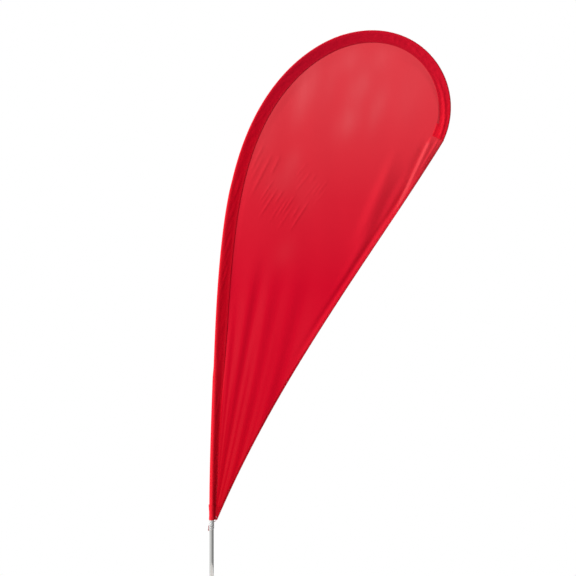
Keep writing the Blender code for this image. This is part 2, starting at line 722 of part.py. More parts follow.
# ---------------------------------------------------------------- tension collar and cord
def make_collar(collar, knob):
    """A nylon ring clamped on the tube, with a peg for the cord and a screw knob behind."""
    ring = turned(
        "tension_collar",
        [
            (COLLAR_BORE, COLLAR_HIGH), (COLLAR_RADIUS - 0.0005, COLLAR_HIGH),
            (COLLAR_RADIUS, COLLAR_HIGH - 0.0008), (COLLAR_RADIUS, COLLAR_LOW), (COLLAR_BORE, COLLAR_LOW),
        ],
        28,
        ring=True,
    )
    peg = turned(
        "collar_peg",
        [
            (0, 0.0178), (0.0050, 0.0178), (0.0055, 0.0173), (0.0055, 0.0162), (PEG_RADIUS, 0.0155),
            (PEG_RADIUS, 0.0110), (0, 0.0110),
        ],
        16,
    )
    combine(ring, turn_to(peg, (0, 0, PEG_Z), (0, -math.pi / 2, 0)), "UNION")
    boss = cylinder("collar_boss", 0.0065, 0.0108, 0.0190, 20)
    combine(ring, turn_to(boss, (0, 0, KNOB_Z), (-math.pi / 2, 0, 0)), "UNION")
    drill = cylinder("collar_drill", 0.0031, 0.0050, 0.0300, 16)
    combine(ring, turn_to(drill, (0, 0, KNOB_Z), (-math.pi / 2, 0, 0)), "DIFFERENCE")
    seat = cylinder("insert_seat", 0.0046, 0.0135, 0.0300, 16)
    combine(ring, turn_to(seat, (0, 0, KNOB_Z), (-math.pi / 2, 0, 0)), "DIFFERENCE")
    wedge = cylinder("collar_slant", 0.060, -0.060, 0, 4)
    combine(ring, turn_to(wedge, (0, 0, COLLAR_LOW + 0.0075), (0, -math.radians(32), 0)), "DIFFERENCE")
    ring = baked(ring)
    smooth(ring.data)
    place(ring, NYLON, collar)

    section = [(0.0028, 0.0190), (0.0043, 0.0190), (0.0043, 0.0138), (0.0028, 0.0138)]
    insert = turned("clamp_insert", section, 16, ring=True)
    place(insert, BRASS, collar, (0, 0, KNOB_Z), (-math.pi / 2, 0, 0))
    lobes = [(0.0082 + 0.0009 * math.cos(6 * math.tau * i / 36), math.tau * i / 36) for i in range(36)]
    head = plate("clamp_knob", [(r * math.cos(t), r * math.sin(t)) for r, t in lobes], 0.009)
    head = baked(turn_to(head, (0, 0, 0.0240)))
    head.data.transform(head.matrix_world)
    head.matrix_world = Matrix()
    combine(head, cylinder("knob_screw", 0.0025, 0.0104, 0.0240, 16), "UNION")
    head = baked(head)
    smooth(head.data)
    place(head, RUBBER, knob, (0, 0, 0), (-math.pi / 2, 0, 0))


# The elastic cord's route: from the crimp up through the eyelet, down again in front of the hem,
# behind the pole, round the peg and back to the crimp.
CORD_ROUTE = (
    (0.0105, 0.0134, 0.4985),
    (0.0150, 0.0098, 0.5030),
    (0.0190, 0.0068, 0.5085),
    (0.0214, 0.0040, 0.5118),
    (0.0222, 0.0000, 0.5127),
    (0.0223, -0.0040, 0.5108),
    (0.0217, -0.0052, 0.5050),
    (0.0208, -0.0044, 0.4995),
    (0.0195, -0.0010, 0.4958),
    (0.0172, 0.0038, 0.4935),
    (0.0131, 0.0085, 0.4905),
    (0.0062, 0.0134, 0.4860),
    (-0.0020, 0.0145, 0.4810),
    (-0.0095, 0.0108, 0.4755),
    (-0.0136, 0.0045, 0.4705),
    (-0.0140, -0.0018, 0.4655),
    (-0.0139, -0.0046, 0.4600),
    (-0.0138, -0.0052, 0.4545),
    (-0.0138, -0.0036, 0.4502),
    (-0.0138, 0.0000, 0.4486),
    (-0.0138, 0.0036, 0.4502),
    (-0.0138, 0.0052, 0.4545),
    (-0.0138, 0.0062, 0.4610),
    (-0.0128, 0.0082, 0.4690),
    (-0.0095, 0.0115, 0.4790),
    (-0.0040, 0.0144, 0.4865),
    (0.0015, 0.0148, 0.4915),
)
CRIMP_ENDS = (Vector(CORD_ROUTE[-1]), Vector(CORD_ROUTE[0]))


def smooth_route(points, per_span):
    """A Catmull-Rom curve through the points, with points per_span to a span."""
    knots = [Vector(p) for p in points]
    knots = [2 * knots[0] - knots[1], *knots, 2 * knots[-1] - knots[-2]]
    found = []
    for a, b, c, d in zip(knots, knots[1:], knots[2:], knots[3:]):
        for i in range(per_span):
            t = i / per_span
            square, cube = 2 * a - 5 * b + 4 * c - d, 3 * b - a - 3 * c + d
            found.append(0.5 * (2 * b + (c - a) * t + square * t**2 + cube * t**3))
    return [*found, knots[-2]]


def make_cord(pole):
    """The elastic loop that draws the cloth down to the collar, its two ends in one crimp."""
    points = smooth_route(CORD_ROUTE, 2)
    place(rod_along("tension_cord", points, [CORD_RADIUS] * len(points), 8), ELASTIC, pole)
    low, high = CRIMP_ENDS
    middle, run = (low + high) / 2, high - low
    half = run.length / 2 - 4 * GAP
    crimp = cylinder("cord_crimp", 0.0024, -half, half, 12)
    place(crimp, ALUMINIUM, pole, middle, run.to_track_quat("Z", "Y").to_euler())


# ---------------------------------------------------------------- assembly
def build():
    root = empty("base")
    lower_body = empty("lower_leg_pivot", parent=root)
    rolling = empty("ball_sets", parent=root)
    spinning = empty("spindle_axis", parent=root)
    pole = empty("pole", parent=spinning)
    collar = empty("collar", parent=pole)
    knob = empty("knob_axis", (0, 0, KNOB_Z), collar)
    make_leg_parts(root, lower_body)
    make_feet(root, lower_body)
    make_pivot(root)
    make_hub(root)
    make_rotator(root, spinning, rolling)
    make_pole(pole)
    make_cloth(pole)
    make_collar(collar, knob)
    make_cord(pole)


build()
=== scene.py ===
"""The looks of a teardrop flag on a bent pole with a folding cross base.

Everything is in metres in the row frame: +Z up. The cloth lies in the plane y = 0 and flies towards +X, and
its front faces -Y.
"""

import json
import math

import bpy
import numpy as np
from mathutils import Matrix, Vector, noise


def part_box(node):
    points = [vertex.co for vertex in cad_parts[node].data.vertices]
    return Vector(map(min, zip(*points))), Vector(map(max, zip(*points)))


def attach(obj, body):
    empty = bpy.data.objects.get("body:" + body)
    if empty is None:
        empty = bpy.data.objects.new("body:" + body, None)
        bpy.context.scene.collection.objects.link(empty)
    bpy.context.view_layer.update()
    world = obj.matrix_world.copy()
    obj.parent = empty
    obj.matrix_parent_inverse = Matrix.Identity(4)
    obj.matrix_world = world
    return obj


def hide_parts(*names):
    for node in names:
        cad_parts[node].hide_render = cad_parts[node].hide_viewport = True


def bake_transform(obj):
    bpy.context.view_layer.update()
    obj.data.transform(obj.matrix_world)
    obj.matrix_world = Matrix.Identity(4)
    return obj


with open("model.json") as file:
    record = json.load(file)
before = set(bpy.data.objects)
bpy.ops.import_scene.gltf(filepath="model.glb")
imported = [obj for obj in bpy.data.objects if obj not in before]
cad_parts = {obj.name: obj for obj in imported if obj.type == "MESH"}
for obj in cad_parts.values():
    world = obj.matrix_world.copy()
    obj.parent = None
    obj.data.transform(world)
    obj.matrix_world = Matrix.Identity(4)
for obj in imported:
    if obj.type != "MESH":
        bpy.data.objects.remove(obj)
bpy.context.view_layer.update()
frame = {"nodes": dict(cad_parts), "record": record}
POLE = "flag_and_pole"

# -------------------- the flag's own sizes, as in the CAD model
FLAG_BOTTOM = 0.500  # height of the cloth's lower hem
POLE_TIP = 3.857  # distance along the pole, from the floor, to the end of the sleeve

# The pole's bend: (distance along the pole, curvature in 1/m), straight lines between.
POLE_BEND = (
    (0.50, 0.00), (0.60, 0.14), (0.75, 0.06), (1.20, 0.01), (1.80, 0.23), (2.30, 0.81), (2.80, 1.45),
    (3.30, 2.89), (3.80, 2.73), (3.90, 2.73),
)

# The sleeve: radius of its inside round the pole, and distance from the pole's axis to its seam.
SLEEVE_FIT = (
    (0.50, 0.0113), (1.17, 0.0113), (1.22, 0.0087), (2.04, 0.0087), (2.10, 0.0072), (2.98, 0.0072),
    (3.04, 0.0063),
)
SLEEVE_SEAM = ((0.50, 0.0132), (0.70, 0.0300), (1.05, 0.0385), (1.40, 0.0500), (1.80, 0.0520), (3.90, 0.0520))
SLEEVE_WALL = 0.0008
POCKET_LENGTH = 0.066
TIP_CLEAR = 0.0020  # from the sleeve's end to the cloth that turns down over it
CORNER = (0.0265, FLAG_BOTTOM)  # x and z of the cloth's lower corner
CORNER_APEX = 0.012  # x at the cloth's lower hem from which the fan of creases spreads
TRAILING_HOLLOW = 0.047  # how far the free edge is drawn in from a straight line
HOLLOW_SKEW = 1.5  # above 1, the hollow is deepest below the middle
PATCH_TOP = FLAG_BOTTOM + 0.060  # the corner patch's upper edge
EYELET = (0.0222, 0.5125)  # x and z of its centre
CORD_DIAMETER = 0.0025

# -------------------- the picture
CAMERA_AIM = (0.3590, 1.5894)  # x and z of the picture's middle, in the cloth's plane
CAMERA_DISTANCE = 8.0
PICTURE_WIDTH = 2.707  # of the cloth's plane
SUN_WAY = (0.82, 0.49, -0.29)  # the way its light travels: from the left, the front and a little above
SKY_LEFT, SKY_RIGHT = 0.85, 0.20  # brightness of the world on either side
FLOOR_RADIUS = 0.85


# -------------------- camera, light and stage
def make_camera():
    """Level, square to the cloth, with the flag right of the middle and the pole cut off below it."""
    camera = bpy.data.cameras.new("camera")
    camera.sensor_width = 36
    camera.lens = camera.sensor_width * CAMERA_DISTANCE / PICTURE_WIDTH
    camera.clip_end = 100
    obj = bpy.data.objects.new("camera", camera)
    obj.location = (CAMERA_AIM[0], -CAMERA_DISTANCE, CAMERA_AIM[1])
    obj.rotation_euler = (math.pi / 2, 0, 0)
    bpy.context.scene.collection.objects.link(obj)
    bpy.context.scene.camera = obj


def make_light(name, kind, energy, way, spot=(0, 0, 0), **settings):
    """A light that shines along way."""
    light = bpy.data.lights.new(name, kind)
    light.energy = energy
    for key, value in settings.items():
        setattr(light, key, value)
    obj = bpy.data.objects.new(name, light)
    obj.location = spot
    obj.rotation_euler = Vector(way).to_track_quat("-Z", "Y").to_euler()
    bpy.context.scene.collection.objects.link(obj)


def make_world():
    """A world that is brighter on the left, and that the camera sees as white."""
    world = bpy.data.worlds.new("studio")
    bpy.context.scene.world = world
    world.use_nodes = True
    tree = world.node_tree
    sky = tree.nodes["Background"]
    across = node(tree, "ShaderNodeSeparateXYZ", _0=node(tree, "ShaderNodeTexCoord").outputs["Generated"])
    side = node(tree, "ShaderNodeMapRange", Value=across.outputs["X"], _1=-1, _2=1, _3=SKY_LEFT, _4=SKY_RIGHT)
    tree.links.new(side.outputs[0], sky.inputs["Color"])
    white = node(tree, "ShaderNodeBackground", Color=(1, 1, 1, 1))
    seen = node(tree, "ShaderNodeLightPath").outputs["Is Camera Ray"]
    mix = node(tree, "ShaderNodeMixShader", _0=seen, _1=sky.outputs[0], _2=white.outputs[0])
    tree.links.new(mix.outputs[0], tree.nodes["World Output"].inputs[0])


def make_stage():
    """A low sun, a light from behind that shines through the cloth, and a pale floor."""
    bpy.context.scene.view_settings.view_transform = "Standard"
    bpy.context.scene.view_settings.look = "None"
    make_light("key", "SUN", 3.1, SUN_WAY, angle=math.radians(14), color=(1.0, 0.985, 0.96))
    spot, target = Vector((1.5, 4.0, 4.6)), Vector((0.5, 0, 1.9))
    make_light("back", "AREA", 170, target - spot, spot, shape="DISK", size=2.5)
    make_world()
    bpy.ops.mesh.primitive_circle_add(
        vertices=128, radius=FLOOR_RADIUS, fill_type="NGON", location=(0, 0, -0.0005)
    )
    floor = bpy.context.object
    floor.name = "floor"
    floor.data.materials.append(plain_material("pale_floor", (0.82, 0.82, 0.81), 0.85))


# -------------------- material helpers
def node(tree, kind, settings=None, **inputs):
    """A shader node with its settings; an input is a value or another node's output."""
    made = tree.nodes.new(kind)
    for key, value in (settings or {}).items():
        setattr(made, key, value)
    for key, value in inputs.items():
        socket = made.inputs[int(key[1:])] if key[0] == "_" else made.inputs[key.replace("_", " ")]
        feed(tree, socket, value)
    return made


def feed(tree, socket, value):
    if isinstance(value, bpy.types.NodeSocket):
        tree.links.new(value, socket)
    else:
        socket.default_value = value


def principled(name, roughness, metallic=0.0, specular=0.5):
    mat = bpy.data.materials.new(name)
    mat.use_nodes = True
    shader = mat.node_tree.nodes["Principled BSDF"]
    shader.inputs["Roughness"].default_value = roughness
    shader.inputs["Metallic"].default_value = metallic
    shader.inputs["Specular IOR Level"].default_value = specular
    return mat, mat.node_tree, shader


def plain_material(name, colour, roughness):
    """A material with only a little mottle, for the stage."""
    mat, tree, shader = principled(name, roughness)
    mottle = noise_texture(tree, 3.0, 2.0)
    paint(tree, shader, mixed_colour(tree, mottle, tuple(c * 0.98 for c in colour), colour))
    return mat


def paint(tree, shader, colour):
    tree.links.new(colour, shader.inputs["Base Color"])


def polish(tree, shader, factor, low, high):
    """The shader's roughness, from low where factor is 0 to high where it is 1."""
    rough = node(tree, "ShaderNodeMapRange", Value=factor, _3=low, _4=high)
    tree.links.new(rough.outputs[0], shader.inputs["Roughness"])


def emboss(tree, shader, height, strength, distance):
    """The shader's bump, from a height of 0 to 1 that stands for distance in metres."""
    bump = node(tree, "ShaderNodeBump", Height=height, Strength=strength, Distance=distance)
    tree.links.new(bump.outputs[0], shader.inputs["Normal"])
    return bump.outputs[0]


def object_place(tree):
    return node(tree, "ShaderNodeTexCoord").outputs["Object"]


def noise_texture(tree, scale, detail, roughness=0.5, place=None):
    """Cloudy noise from 0 to 1, in object coordinates unless place says others."""
    place = object_place(tree) if place is None else place
    made = node(tree, "ShaderNodeTexNoise", Vector=place, Scale=scale, Detail=detail, Roughness=roughness)
    return made.outputs["Fac"]


def stretched(tree, scale, rotation=(0, 0, 0)):
    """Object coordinates, stretched and turned."""
    made = node(tree, "ShaderNodeMapping", Vector=object_place(tree), Scale=scale, Rotation=rotation)
    return made.outputs["Vector"]


def mixed_colour(tree, factor, a, b):
    made = node(tree, "ShaderNodeMix", {"data_type": "RGBA"})
    for socket, value in ((made.inputs["Factor"], factor), (made.inputs["A"], a), (made.inputs["B"], b)):
        feed(tree, socket, value if not isinstance(value, tuple) else (*value, 1))
    return made.outputs["Result"]


def math_node(tree, operation, a, b):
    return node(tree, "ShaderNodeMath", {"operation": operation}, _0=a, _1=b).outputs[0]


def ramp(tree, factor, stops):
    """A colour ramp of (position, colour) stops, where a plain number is a grey."""
    made = node(tree, "ShaderNodeValToRGB", Fac=factor)
    elements = made.color_ramp.elements
    while len(elements) < len(stops):
        elements.new(0.5)
    for element, (position, colour) in zip(elements, stops):
        element.position = position
        element.color = (*colour, 1) if isinstance(colour, tuple) else (colour, colour, colour, 1)
    return made.outputs["Color"]


def wave_texture(tree, direction, scale, distortion):
    place = object_place(tree)
    settings = {"bands_direction": direction}
    return node(tree, "ShaderNodeTexWave", settings, Vector=place, Scale=scale, Distortion=distortion)


KNIT_PITCH = 0.0011


def knit_height(tree):
    """Fine knitted ribs with the loops across them, as a height from 0 to 1.4."""
    turn = math.tau / KNIT_PITCH / 20  # a wave texture of scale 1 turns 20 radians in a metre
    made = wave_texture(tree, "X", turn, 0.6)
    made.inputs["Detail Scale"].default_value = 2.0
    ribs = made.outputs["Fac"]
    loops = wave_texture(tree, "Z", turn * 1.3, 0.8).outputs["Fac"]
    crossed = math_node(tree, "MULTIPLY", ribs, loops)
    return math_node(tree, "ADD", crossed, math_node(tree, "MULTIPLY", ribs, 0.4))


def fabric(name, stops, painted_sheen, light_through, painted_highlight=None):
    """Knitted polyester. stops are (height, colour) up the flag; the number after them is how far its patches
    of painted sheen lighten it.

    The mesh's attributes say where: one for the patches of painted sheen, and one for the painted highlight
    where the sleeve wraps the sunlit pole, which shows as the last colour given.
    """
    mat, tree, shader = principled(name, 0.55, specular=0.13)
    shader.inputs["Specular Tint"].default_value = (1.0, 0.36, 0.34, 1)
    height = node(tree, "ShaderNodeSeparateXYZ", _0=object_place(tree)).outputs["Z"]
    low, high = stops[0][0], stops[-1][0]
    share = node(tree, "ShaderNodeMapRange", Value=height, _1=low, _2=high)
    base = ramp(tree, share.outputs[0], [((z - low) / (high - low), colour) for z, colour in stops])
    # The painted highlight where the sleeve wraps the sunlit pole, a brighter red in the base colour.
    if painted_highlight:
        attribute = node(tree, "ShaderNodeAttribute", {"attribute_name": "painted_highlight"}).outputs["Fac"]
        base = mixed_colour(tree, attribute, base, painted_highlight)

    # Painted sheen: pale pink patches where the folds catch the light, made uneven along streaks.
    patches = node(tree, "ShaderNodeAttribute", {"attribute_name": "painted_sheen"}).outputs["Fac"]
    streaks = noise_texture(tree, 1.0, 3.0, place=stretched(tree, (26, 8, 5), (0, 0.16, 0)))
    uneven = node(tree, "ShaderNodeMapRange", Value=streaks, _1=0.35, _2=0.65, _3=0.8, _4=1.1)
    amount = math_node(tree, "MULTIPLY", math_node(tree, "MULTIPLY", patches, uneven.outputs[0]), painted_sheen)
    tarnish_and_sheen = mixed_colour(tree, amount, base, (0.95, 0.50, 0.50))

    knit = knit_height(tree)
    shade = math_node(tree, "MULTIPLY", knit, 0.10)
    paint(tree, shader, mixed_colour(tree, shade, tarnish_and_sheen, (0.02, 0.0, 0.0)))
    fuzz = noise_texture(tree, 900.0, 2.0)
    relief = math_node(tree, "ADD", knit, math_node(tree, "MULTIPLY", fuzz, 0.35))
    bump = emboss(tree, shader, relief, 0.35, 0.00025)
    polish(tree, shader, knit, 0.60, 0.48)
    through = node(tree, "ShaderNodeBsdfTranslucent", Color=tarnish_and_sheen, Normal=bump)
    mix = node(tree, "ShaderNodeMixShader", _0=light_through, _1=shader.outputs[0], _2=through.outputs[0])
    tree.links.new(mix.outputs[0], tree.nodes["Material Output"].inputs["Surface"])
    return mat


def thread_material(name, colour):
    """Twisted sewing thread."""
    mat, tree, shader = principled(name, 0.5, specular=0.3)
    twist = wave_texture(tree, "DIAGONAL", 700.0, 1.0).outputs["Fac"]
    paint(tree, shader, mixed_colour(tree, twist, tuple(c * 0.6 for c in colour), colour))
    emboss(tree, shader, twist, 0.4, 0.0001)
    return mat


def metal(name, colour, roughness, grain, grain_depth, wear=0.1, tarnish=(0.5, 0.48, 0.45)):
    """Metal with a directional grain and faint cloudy tarnish."""
    mat, tree, shader = principled(name, roughness, 1.0)
    lines = noise_texture(tree, 30.0, 4.0, place=stretched(tree, grain))
    tarnish_and_sheen = ramp(tree, noise_texture(tree, 18.0, 4.0), [(0.45, 0.0), (0.70, wear)])
    paint(tree, shader, mixed_colour(tree, tarnish_and_sheen, colour, tarnish))
    polish(tree, shader, lines, roughness * 0.75, roughness * 1.3)
    emboss(tree, shader, lines, grain_depth, 0.0001)
    return mat


def powder_coat(name, colour):
    """Fine orange-peel paint with dust in it and small chips down to bare metal."""
    mat, tree, shader = principled(name, 0.45, 0.0, 0.5)
    dust = noise_texture(tree, 25.0, 6.0)
    dusty = ramp(tree, dust, [(0.45, 0.0), (0.80, 0.22)])
    base = mixed_colour(tree, dusty, colour, (0.42, 0.41, 0.38))
    chipped = ramp(tree, noise_texture(tree, 140.0, 5.0), [(0.74, 0.0), (0.76, 0.9)])
    paint(tree, shader, mixed_colour(tree, chipped, base, (0.55, 0.55, 0.55)))
    polish(tree, shader, dust, 0.36, 0.62)
    emboss(tree, shader, noise_texture(tree, 1100.0, 3.0), 0.35, 0.00015)
    return mat


def lacquer(name, colour):
    """Thin clear-coated paint on pressed metal, worn to a darker red in spots."""
    mat, tree, shader = principled(name, 0.42, 0.0, 0.4)
    worn = noise_texture(tree, 420.0, 5.0)
    paint(tree, shader, ramp(tree, worn, [(0.45, colour), (0.70, tuple(c * 0.6 for c in colour))]))
    emboss(tree, shader, worn, 0.15, 0.0001)
    return mat


def moulded(name, colour, roughness, grain, depth, scuff, clearness=0.0):
    """Moulded rubber or nylon: a fine spark-eroded grain with paler scuffs."""
    mat, tree, shader = principled(name, roughness, 0.0, 0.4)
    shader.inputs["Subsurface Weight"].default_value = clearness
    shader.inputs["Subsurface Radius"].default_value = (1.0, 0.97, 0.92)
    shader.inputs["Subsurface Scale"].default_value = 0.012
    wide = noise_texture(tree, 45.0, 6.0, 0.7)
    scuffed = ramp(tree, wide, [(0.50, 0.0), (0.75, scuff)])
    paint(tree, shader, mixed_colour(tree, scuffed, colour, tuple(0.5 * c + 0.20 for c in colour)))
    polish(tree, shader, wide, roughness * 0.85, roughness * 1.15)
    emboss(tree, shader, noise_texture(tree, grain, 3.0), depth, 0.00015)
    return mat


def glass_fibre(name):
    """Pultruded glass-fibre rod: pale resin with long fibres in it."""
    mat, tree, shader = principled(name, 0.35, 0.0, 0.5)
    fibres = noise_texture(tree, 4.0, 5.0, place=stretched(tree, (200, 200, 6)))
    paint(tree, shader, ramp(tree, fibres, [(0.3, (0.50, 0.50, 0.45)), (0.6, (0.72, 0.72, 0.67))]))
    emboss(tree, shader, fibres, 0.2, 0.0001)
    shader.inputs["Coat Weight"].default_value = 0.3
    return mat


def braid(name, colour):
    """Braided elastic: small strands with dark gaps between them."""
    mat, tree, shader = principled(name, 0.7, 0.0, 0.2)
    cells = node(tree, "ShaderNodeTexVoronoi", Vector=object_place(tree), Scale=1500.0).outputs["Distance"]
    paint(tree, shader, ramp(tree, cells, [(0.0, colour), (0.8, tuple(c * 0.35 for c in colour))]))
    emboss(tree, shader, cells, 0.6, -0.0003)
    shader.inputs["Sheen Weight"].default_value = 0.2
    return mat


# -------------------- the pole's axis
AXIS_STEP = 0.002
AXIS_SLACK = 0.004


def between(table, at):
    """The table's value at each place, with straight lines between its rows."""
    places, values = zip(*table)
    return np.interp(at, places, values)


def walk_axis():
    """x, z and heading at each step along the pole; heading 0 is straight up."""
    along = (np.arange(round(POLE_BEND[-1][0] / AXIS_STEP)) + 0.5) * AXIS_STEP
    turns = between(POLE_BEND, along) * AXIS_STEP
    heading = np.concatenate([[0], np.cumsum(turns)])
    middle = heading[:-1] + turns / 2
    x = np.concatenate([[0], np.cumsum(np.sin(middle) * AXIS_STEP)])
    z = np.concatenate([[0], np.cumsum(np.cos(middle) * AXIS_STEP)])
    return x, z, heading


AXIS = walk_axis()


def off_axis(along, outward, across=0.0):
    """Points beside the pole: outward is away from the cloth, across is along +Y. All can be arrays."""
    steps = np.arange(len(AXIS[0])) * AXIS_STEP
    x, z, heading = (np.interp(along, steps, values) for values in AXIS)
    x, z, across = np.broadcast_arrays(x - np.cos(heading) * outward, z + np.sin(heading) * outward, across)
    return np.stack([x, across, z], -1)


def check_axis():
    """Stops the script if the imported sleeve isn't where this file's pole runs."""
    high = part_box("pole_sleeve")[1]
    along = np.linspace(FLAG_BOTTOM, POLE_TIP - POCKET_LENGTH, 400)
    x, _, z = off_axis(along, between(SLEEVE_FIT, along)).max(0)
    assert abs(x - high.x) < AXIS_SLACK and abs(z - high.z) < AXIS_SLACK, (x, high.x, z, high.z)


# -------------------- meshes
def mesh_piece(name, points, faces, mat, body=POLE):
    """A smooth mesh piece from arrays, riding on a body unless body is None."""
    mesh = bpy.data.meshes.new(name)
    mesh.from_pydata([tuple(p) for p in points], [], [tuple(f) for f in faces])
    mesh.shade_smooth()
    mesh.materials.append(mat)
    mesh.update()
    obj = bpy.data.objects.new(name, mesh)
    bpy.context.scene.collection.objects.link(obj)
    if body:
        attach(obj, body)
    return obj


def grid_piece(name, points, mat, more_faces=()):
    """A mesh piece from a grid of points, riding on the pole's body."""
    faces = [*grid_faces(*points.shape[:2]), *more_faces]
    return mesh_piece(name, points.reshape(-1, 3), faces, mat)


def say(obj, name, values):
    """Writes one number for each of a mesh's points as an attribute."""
    attribute = obj.data.attributes.new(name, "FLOAT", "POINT")
    attribute.data.foreach_set("value", values.astype(np.float32).reshape(-1))


def grid_faces(rows, columns, closed=False):
    """Quads of a grid of rows by columns; closed joins each row's end to its start."""
    i, j = np.meshgrid(np.arange(rows - 1), np.arange(columns if closed else columns - 1), indexing="ij")
    k = (j + 1) % columns
    quads = np.stack([i * columns + j, i * columns + k, (i + 1) * columns + k, (i + 1) * columns + j], -1)
    return quads.reshape(-1, 4)


def smoothstep(low, high, value):
    """Rises smoothly from 0 at low to 1 at high."""
    t = np.clip((value - low) / (high - low), 0, 1)
    return t * t * (3 - 2 * t)


def noise_at(points, seed):
    """Smooth noise from about -1 to 1 at an array of points."""
    shift = Vector((seed * 7.3, seed * 3.1, seed * 5.7))
    flat = points.reshape(-1, 3)
    return np.array([noise.noise(Vector(p) + shift) for p in flat]).reshape(points.shape[:-1])


# -------------------- folds in the cloth
# Creases that fan out from the lower corner, each a quick step back between two slow slopes forward: x one
# metre above the corner, bend (1 is straight), the step's and the slopes' widths there, the step's height,
# and how far above the corner it starts and ends.
FAN_CREASES = (
    (0.078, 1.00, 0.010, 0.026, 0.0060, 0.02, 0.75),
    (0.112, 1.00, 0.012, 0.030, 0.0070, 0.03, 1.00),
    (0.148, 1.00, 0.011, 0.030, 0.0055, 0.02, 0.70),
    (0.187, 1.00, 0.020, 0.060, 0.0175, 0.01, 1.24),
    (0.232, 0.85, 0.016, 0.040, 0.0060, 0.06, 0.90),
    (0.282, 0.70, 0.030, 0.085, 0.0190, 0.03, 1.18),
    (0.335, 0.65, 0.024, 0.055, 0.0070, 0.14, 1.05),
    (0.388, 0.60, 0.034, 0.095, 0.0210, 0.14, 1.16),
)

# Ridges and valleys towards the tip pocket: both ends (x, z), widths on the left and on the right, height,
# and the share of the fold's length at which it starts to fade.
LONG_FOLDS = (
    (1.024, 2.274, 0.848, 1.890, 0.0080, 0.022, -0.0065, 0.96),
    (1.006, 2.266, 0.830, 1.890, 0.0260, 0.008, 0.0060, 0.90),
    (1.062, 2.280, 0.985, 2.150, 0.0060, 0.010, -0.0036, 0.96),
    (0.872, 2.240, 0.690, 1.800, 0.0300, 0.036, -0.0075, 0.60),
    (0.925, 2.180, 0.755, 1.850, 0.0260, 0.026, 0.0045, 0.60),
    (0.790, 1.950, 0.560, 1.520, 0.0200, 0.024, -0.0030, 0.60),
)

# Bundles of fine parallel creases: middle (x, z), angle, how many, spacing, length, half-width and height.
CREASE_BUNDLES = (
    (0.325, 1.975, 57, 10, 0.021, 0.140, 0.0052, -0.0021),
    (0.238, 2.150, 63, 4, 0.030, 0.190, 0.0075, -0.0023),
    (0.470, 2.080, 52, 8, 0.022, 0.110, 0.0060, -0.0013),
)

# Soft patches of painted sheen, lighter where the folds catch the light: the middle (x, z), half-width,
# half-height and strength.
SHEEN_PATCHES = (
    (0.447, 2.528, 0.052, 0.110, 0.80),
    (0.412, 2.415, 0.036, 0.080, 0.25),
    (0.694, 2.530, 0.050, 0.075, 0.75),
    (0.642, 2.374, 0.052, 0.080, 0.80),
    (0.782, 2.440, 0.036, 0.100, 0.65),
    (0.654, 2.665, 0.050, 0.060, 0.50),
    (0.800, 2.675, 0.055, 0.060, 0.40),
    (0.560, 2.560, 0.030, 0.130, 0.20),
    (0.920, 2.480, 0.070, 0.120, 0.25),
    (0.381, 2.183, 0.036, 0.060, 0.35),
    (0.335, 2.090, 0.080, 0.070, 0.28),
    (0.255, 2.290, 0.045, 0.120, 0.20),
    (0.450, 2.020, 0.060, 0.090, 0.15),
    (0.345, 1.754, 0.045, 0.065, 0.16),
)
SHEEN_PATCH_LEAN = 0.26  # to the right, for each metre up

# A painted highlight along the tight flank of the long fold at the tip: both ends (x, z), half-width and
# strength.
LIT_FLANK = (0.834, 1.880, 1.016, 2.270)
FLANK_WIDTH, FLANK_STRENGTH = 0.007, 0.9
# Painted light on the fan's slopes that face the light.
SLOPE_LIT, SLOPE_MOST = 1.3, 0.2  # how much a slope in the fan is lightened for its steepness, and at most
PAINTED_SHEEN_MOST = 1.2


def along_line(x, z, x0, z0, x1, z1):
    """Share along a line from 0 to 1 and distance beside it, for points in the cloth's plane."""
    run = np.hypot(x1 - x0, z1 - z0)
    ux, uz = (x1 - x0) / run, (z1 - z0) / run
    share = ((x - x0) * ux + (z - z0) * uz) / run
    beside = (x - x0) * uz - (z - z0) * ux
    return share, beside


def fan_height(x, z):
    """The creases that fan out from the lower corner, finer and shallower towards it."""
    above = np.maximum(z - FLAG_BOTTOM, 0.02)
    total = np.zeros_like(x)
    for one_metre_up, bend, step, slope, height, start, end in FAN_CREASES:
        beside = x - CORNER_APEX - (one_metre_up - CORNER_APEX) * above**bend
        size = above**0.75
        fade = smoothstep(start, start + 0.08, above) * (1 - smoothstep(end - 0.30, end + 0.10, above))
        profile = np.tanh(beside / (step * size)) - np.tanh(beside / (slope * size))
        total += height * 0.5 * size * fade * profile
    return total


def bundle_lines():
    """Both ends of every crease in the bundles, with its half-width and height."""
    for x, z, angle, count, spacing, length, width, height in CREASE_BUNDLES:
        turn = math.radians(angle)
        way, side = (math.cos(turn), math.sin(turn)), (math.sin(turn), -math.cos(turn))
        for i in range(count):
            aside = (i - (count - 1) / 2) * spacing + 0.25 * spacing * math.sin(5.1 * i)
            ahead = 0.22 * length * math.sin(2.3 * i + 1)
            half = 0.5 * length * (0.8 + 0.3 * math.sin(3.7 * i))
            middle = (x + side[0] * aside + way[0] * ahead, z + side[1] * aside + way[1] * ahead)
            low = (middle[0] - way[0] * half, middle[1] - way[1] * half)
            high = (middle[0] + way[0] * half, middle[1] + way[1] * half)
            yield low, high, width, height * (0.75 + 0.25 * math.sin(4.3 * i))


def crease_height(x, z):
    """The bundles of fine creases."""
    total = np.zeros_like(x)
    for low, high, width, height in bundle_lines():
        share, beside = along_line(x, z, *low, *high)
        fade = smoothstep(-0.2, 0.35, share) * (1 - smoothstep(0.65, 1.2, share))
        total += height * fade * np.exp(-((beside / width) ** 2))
    return total


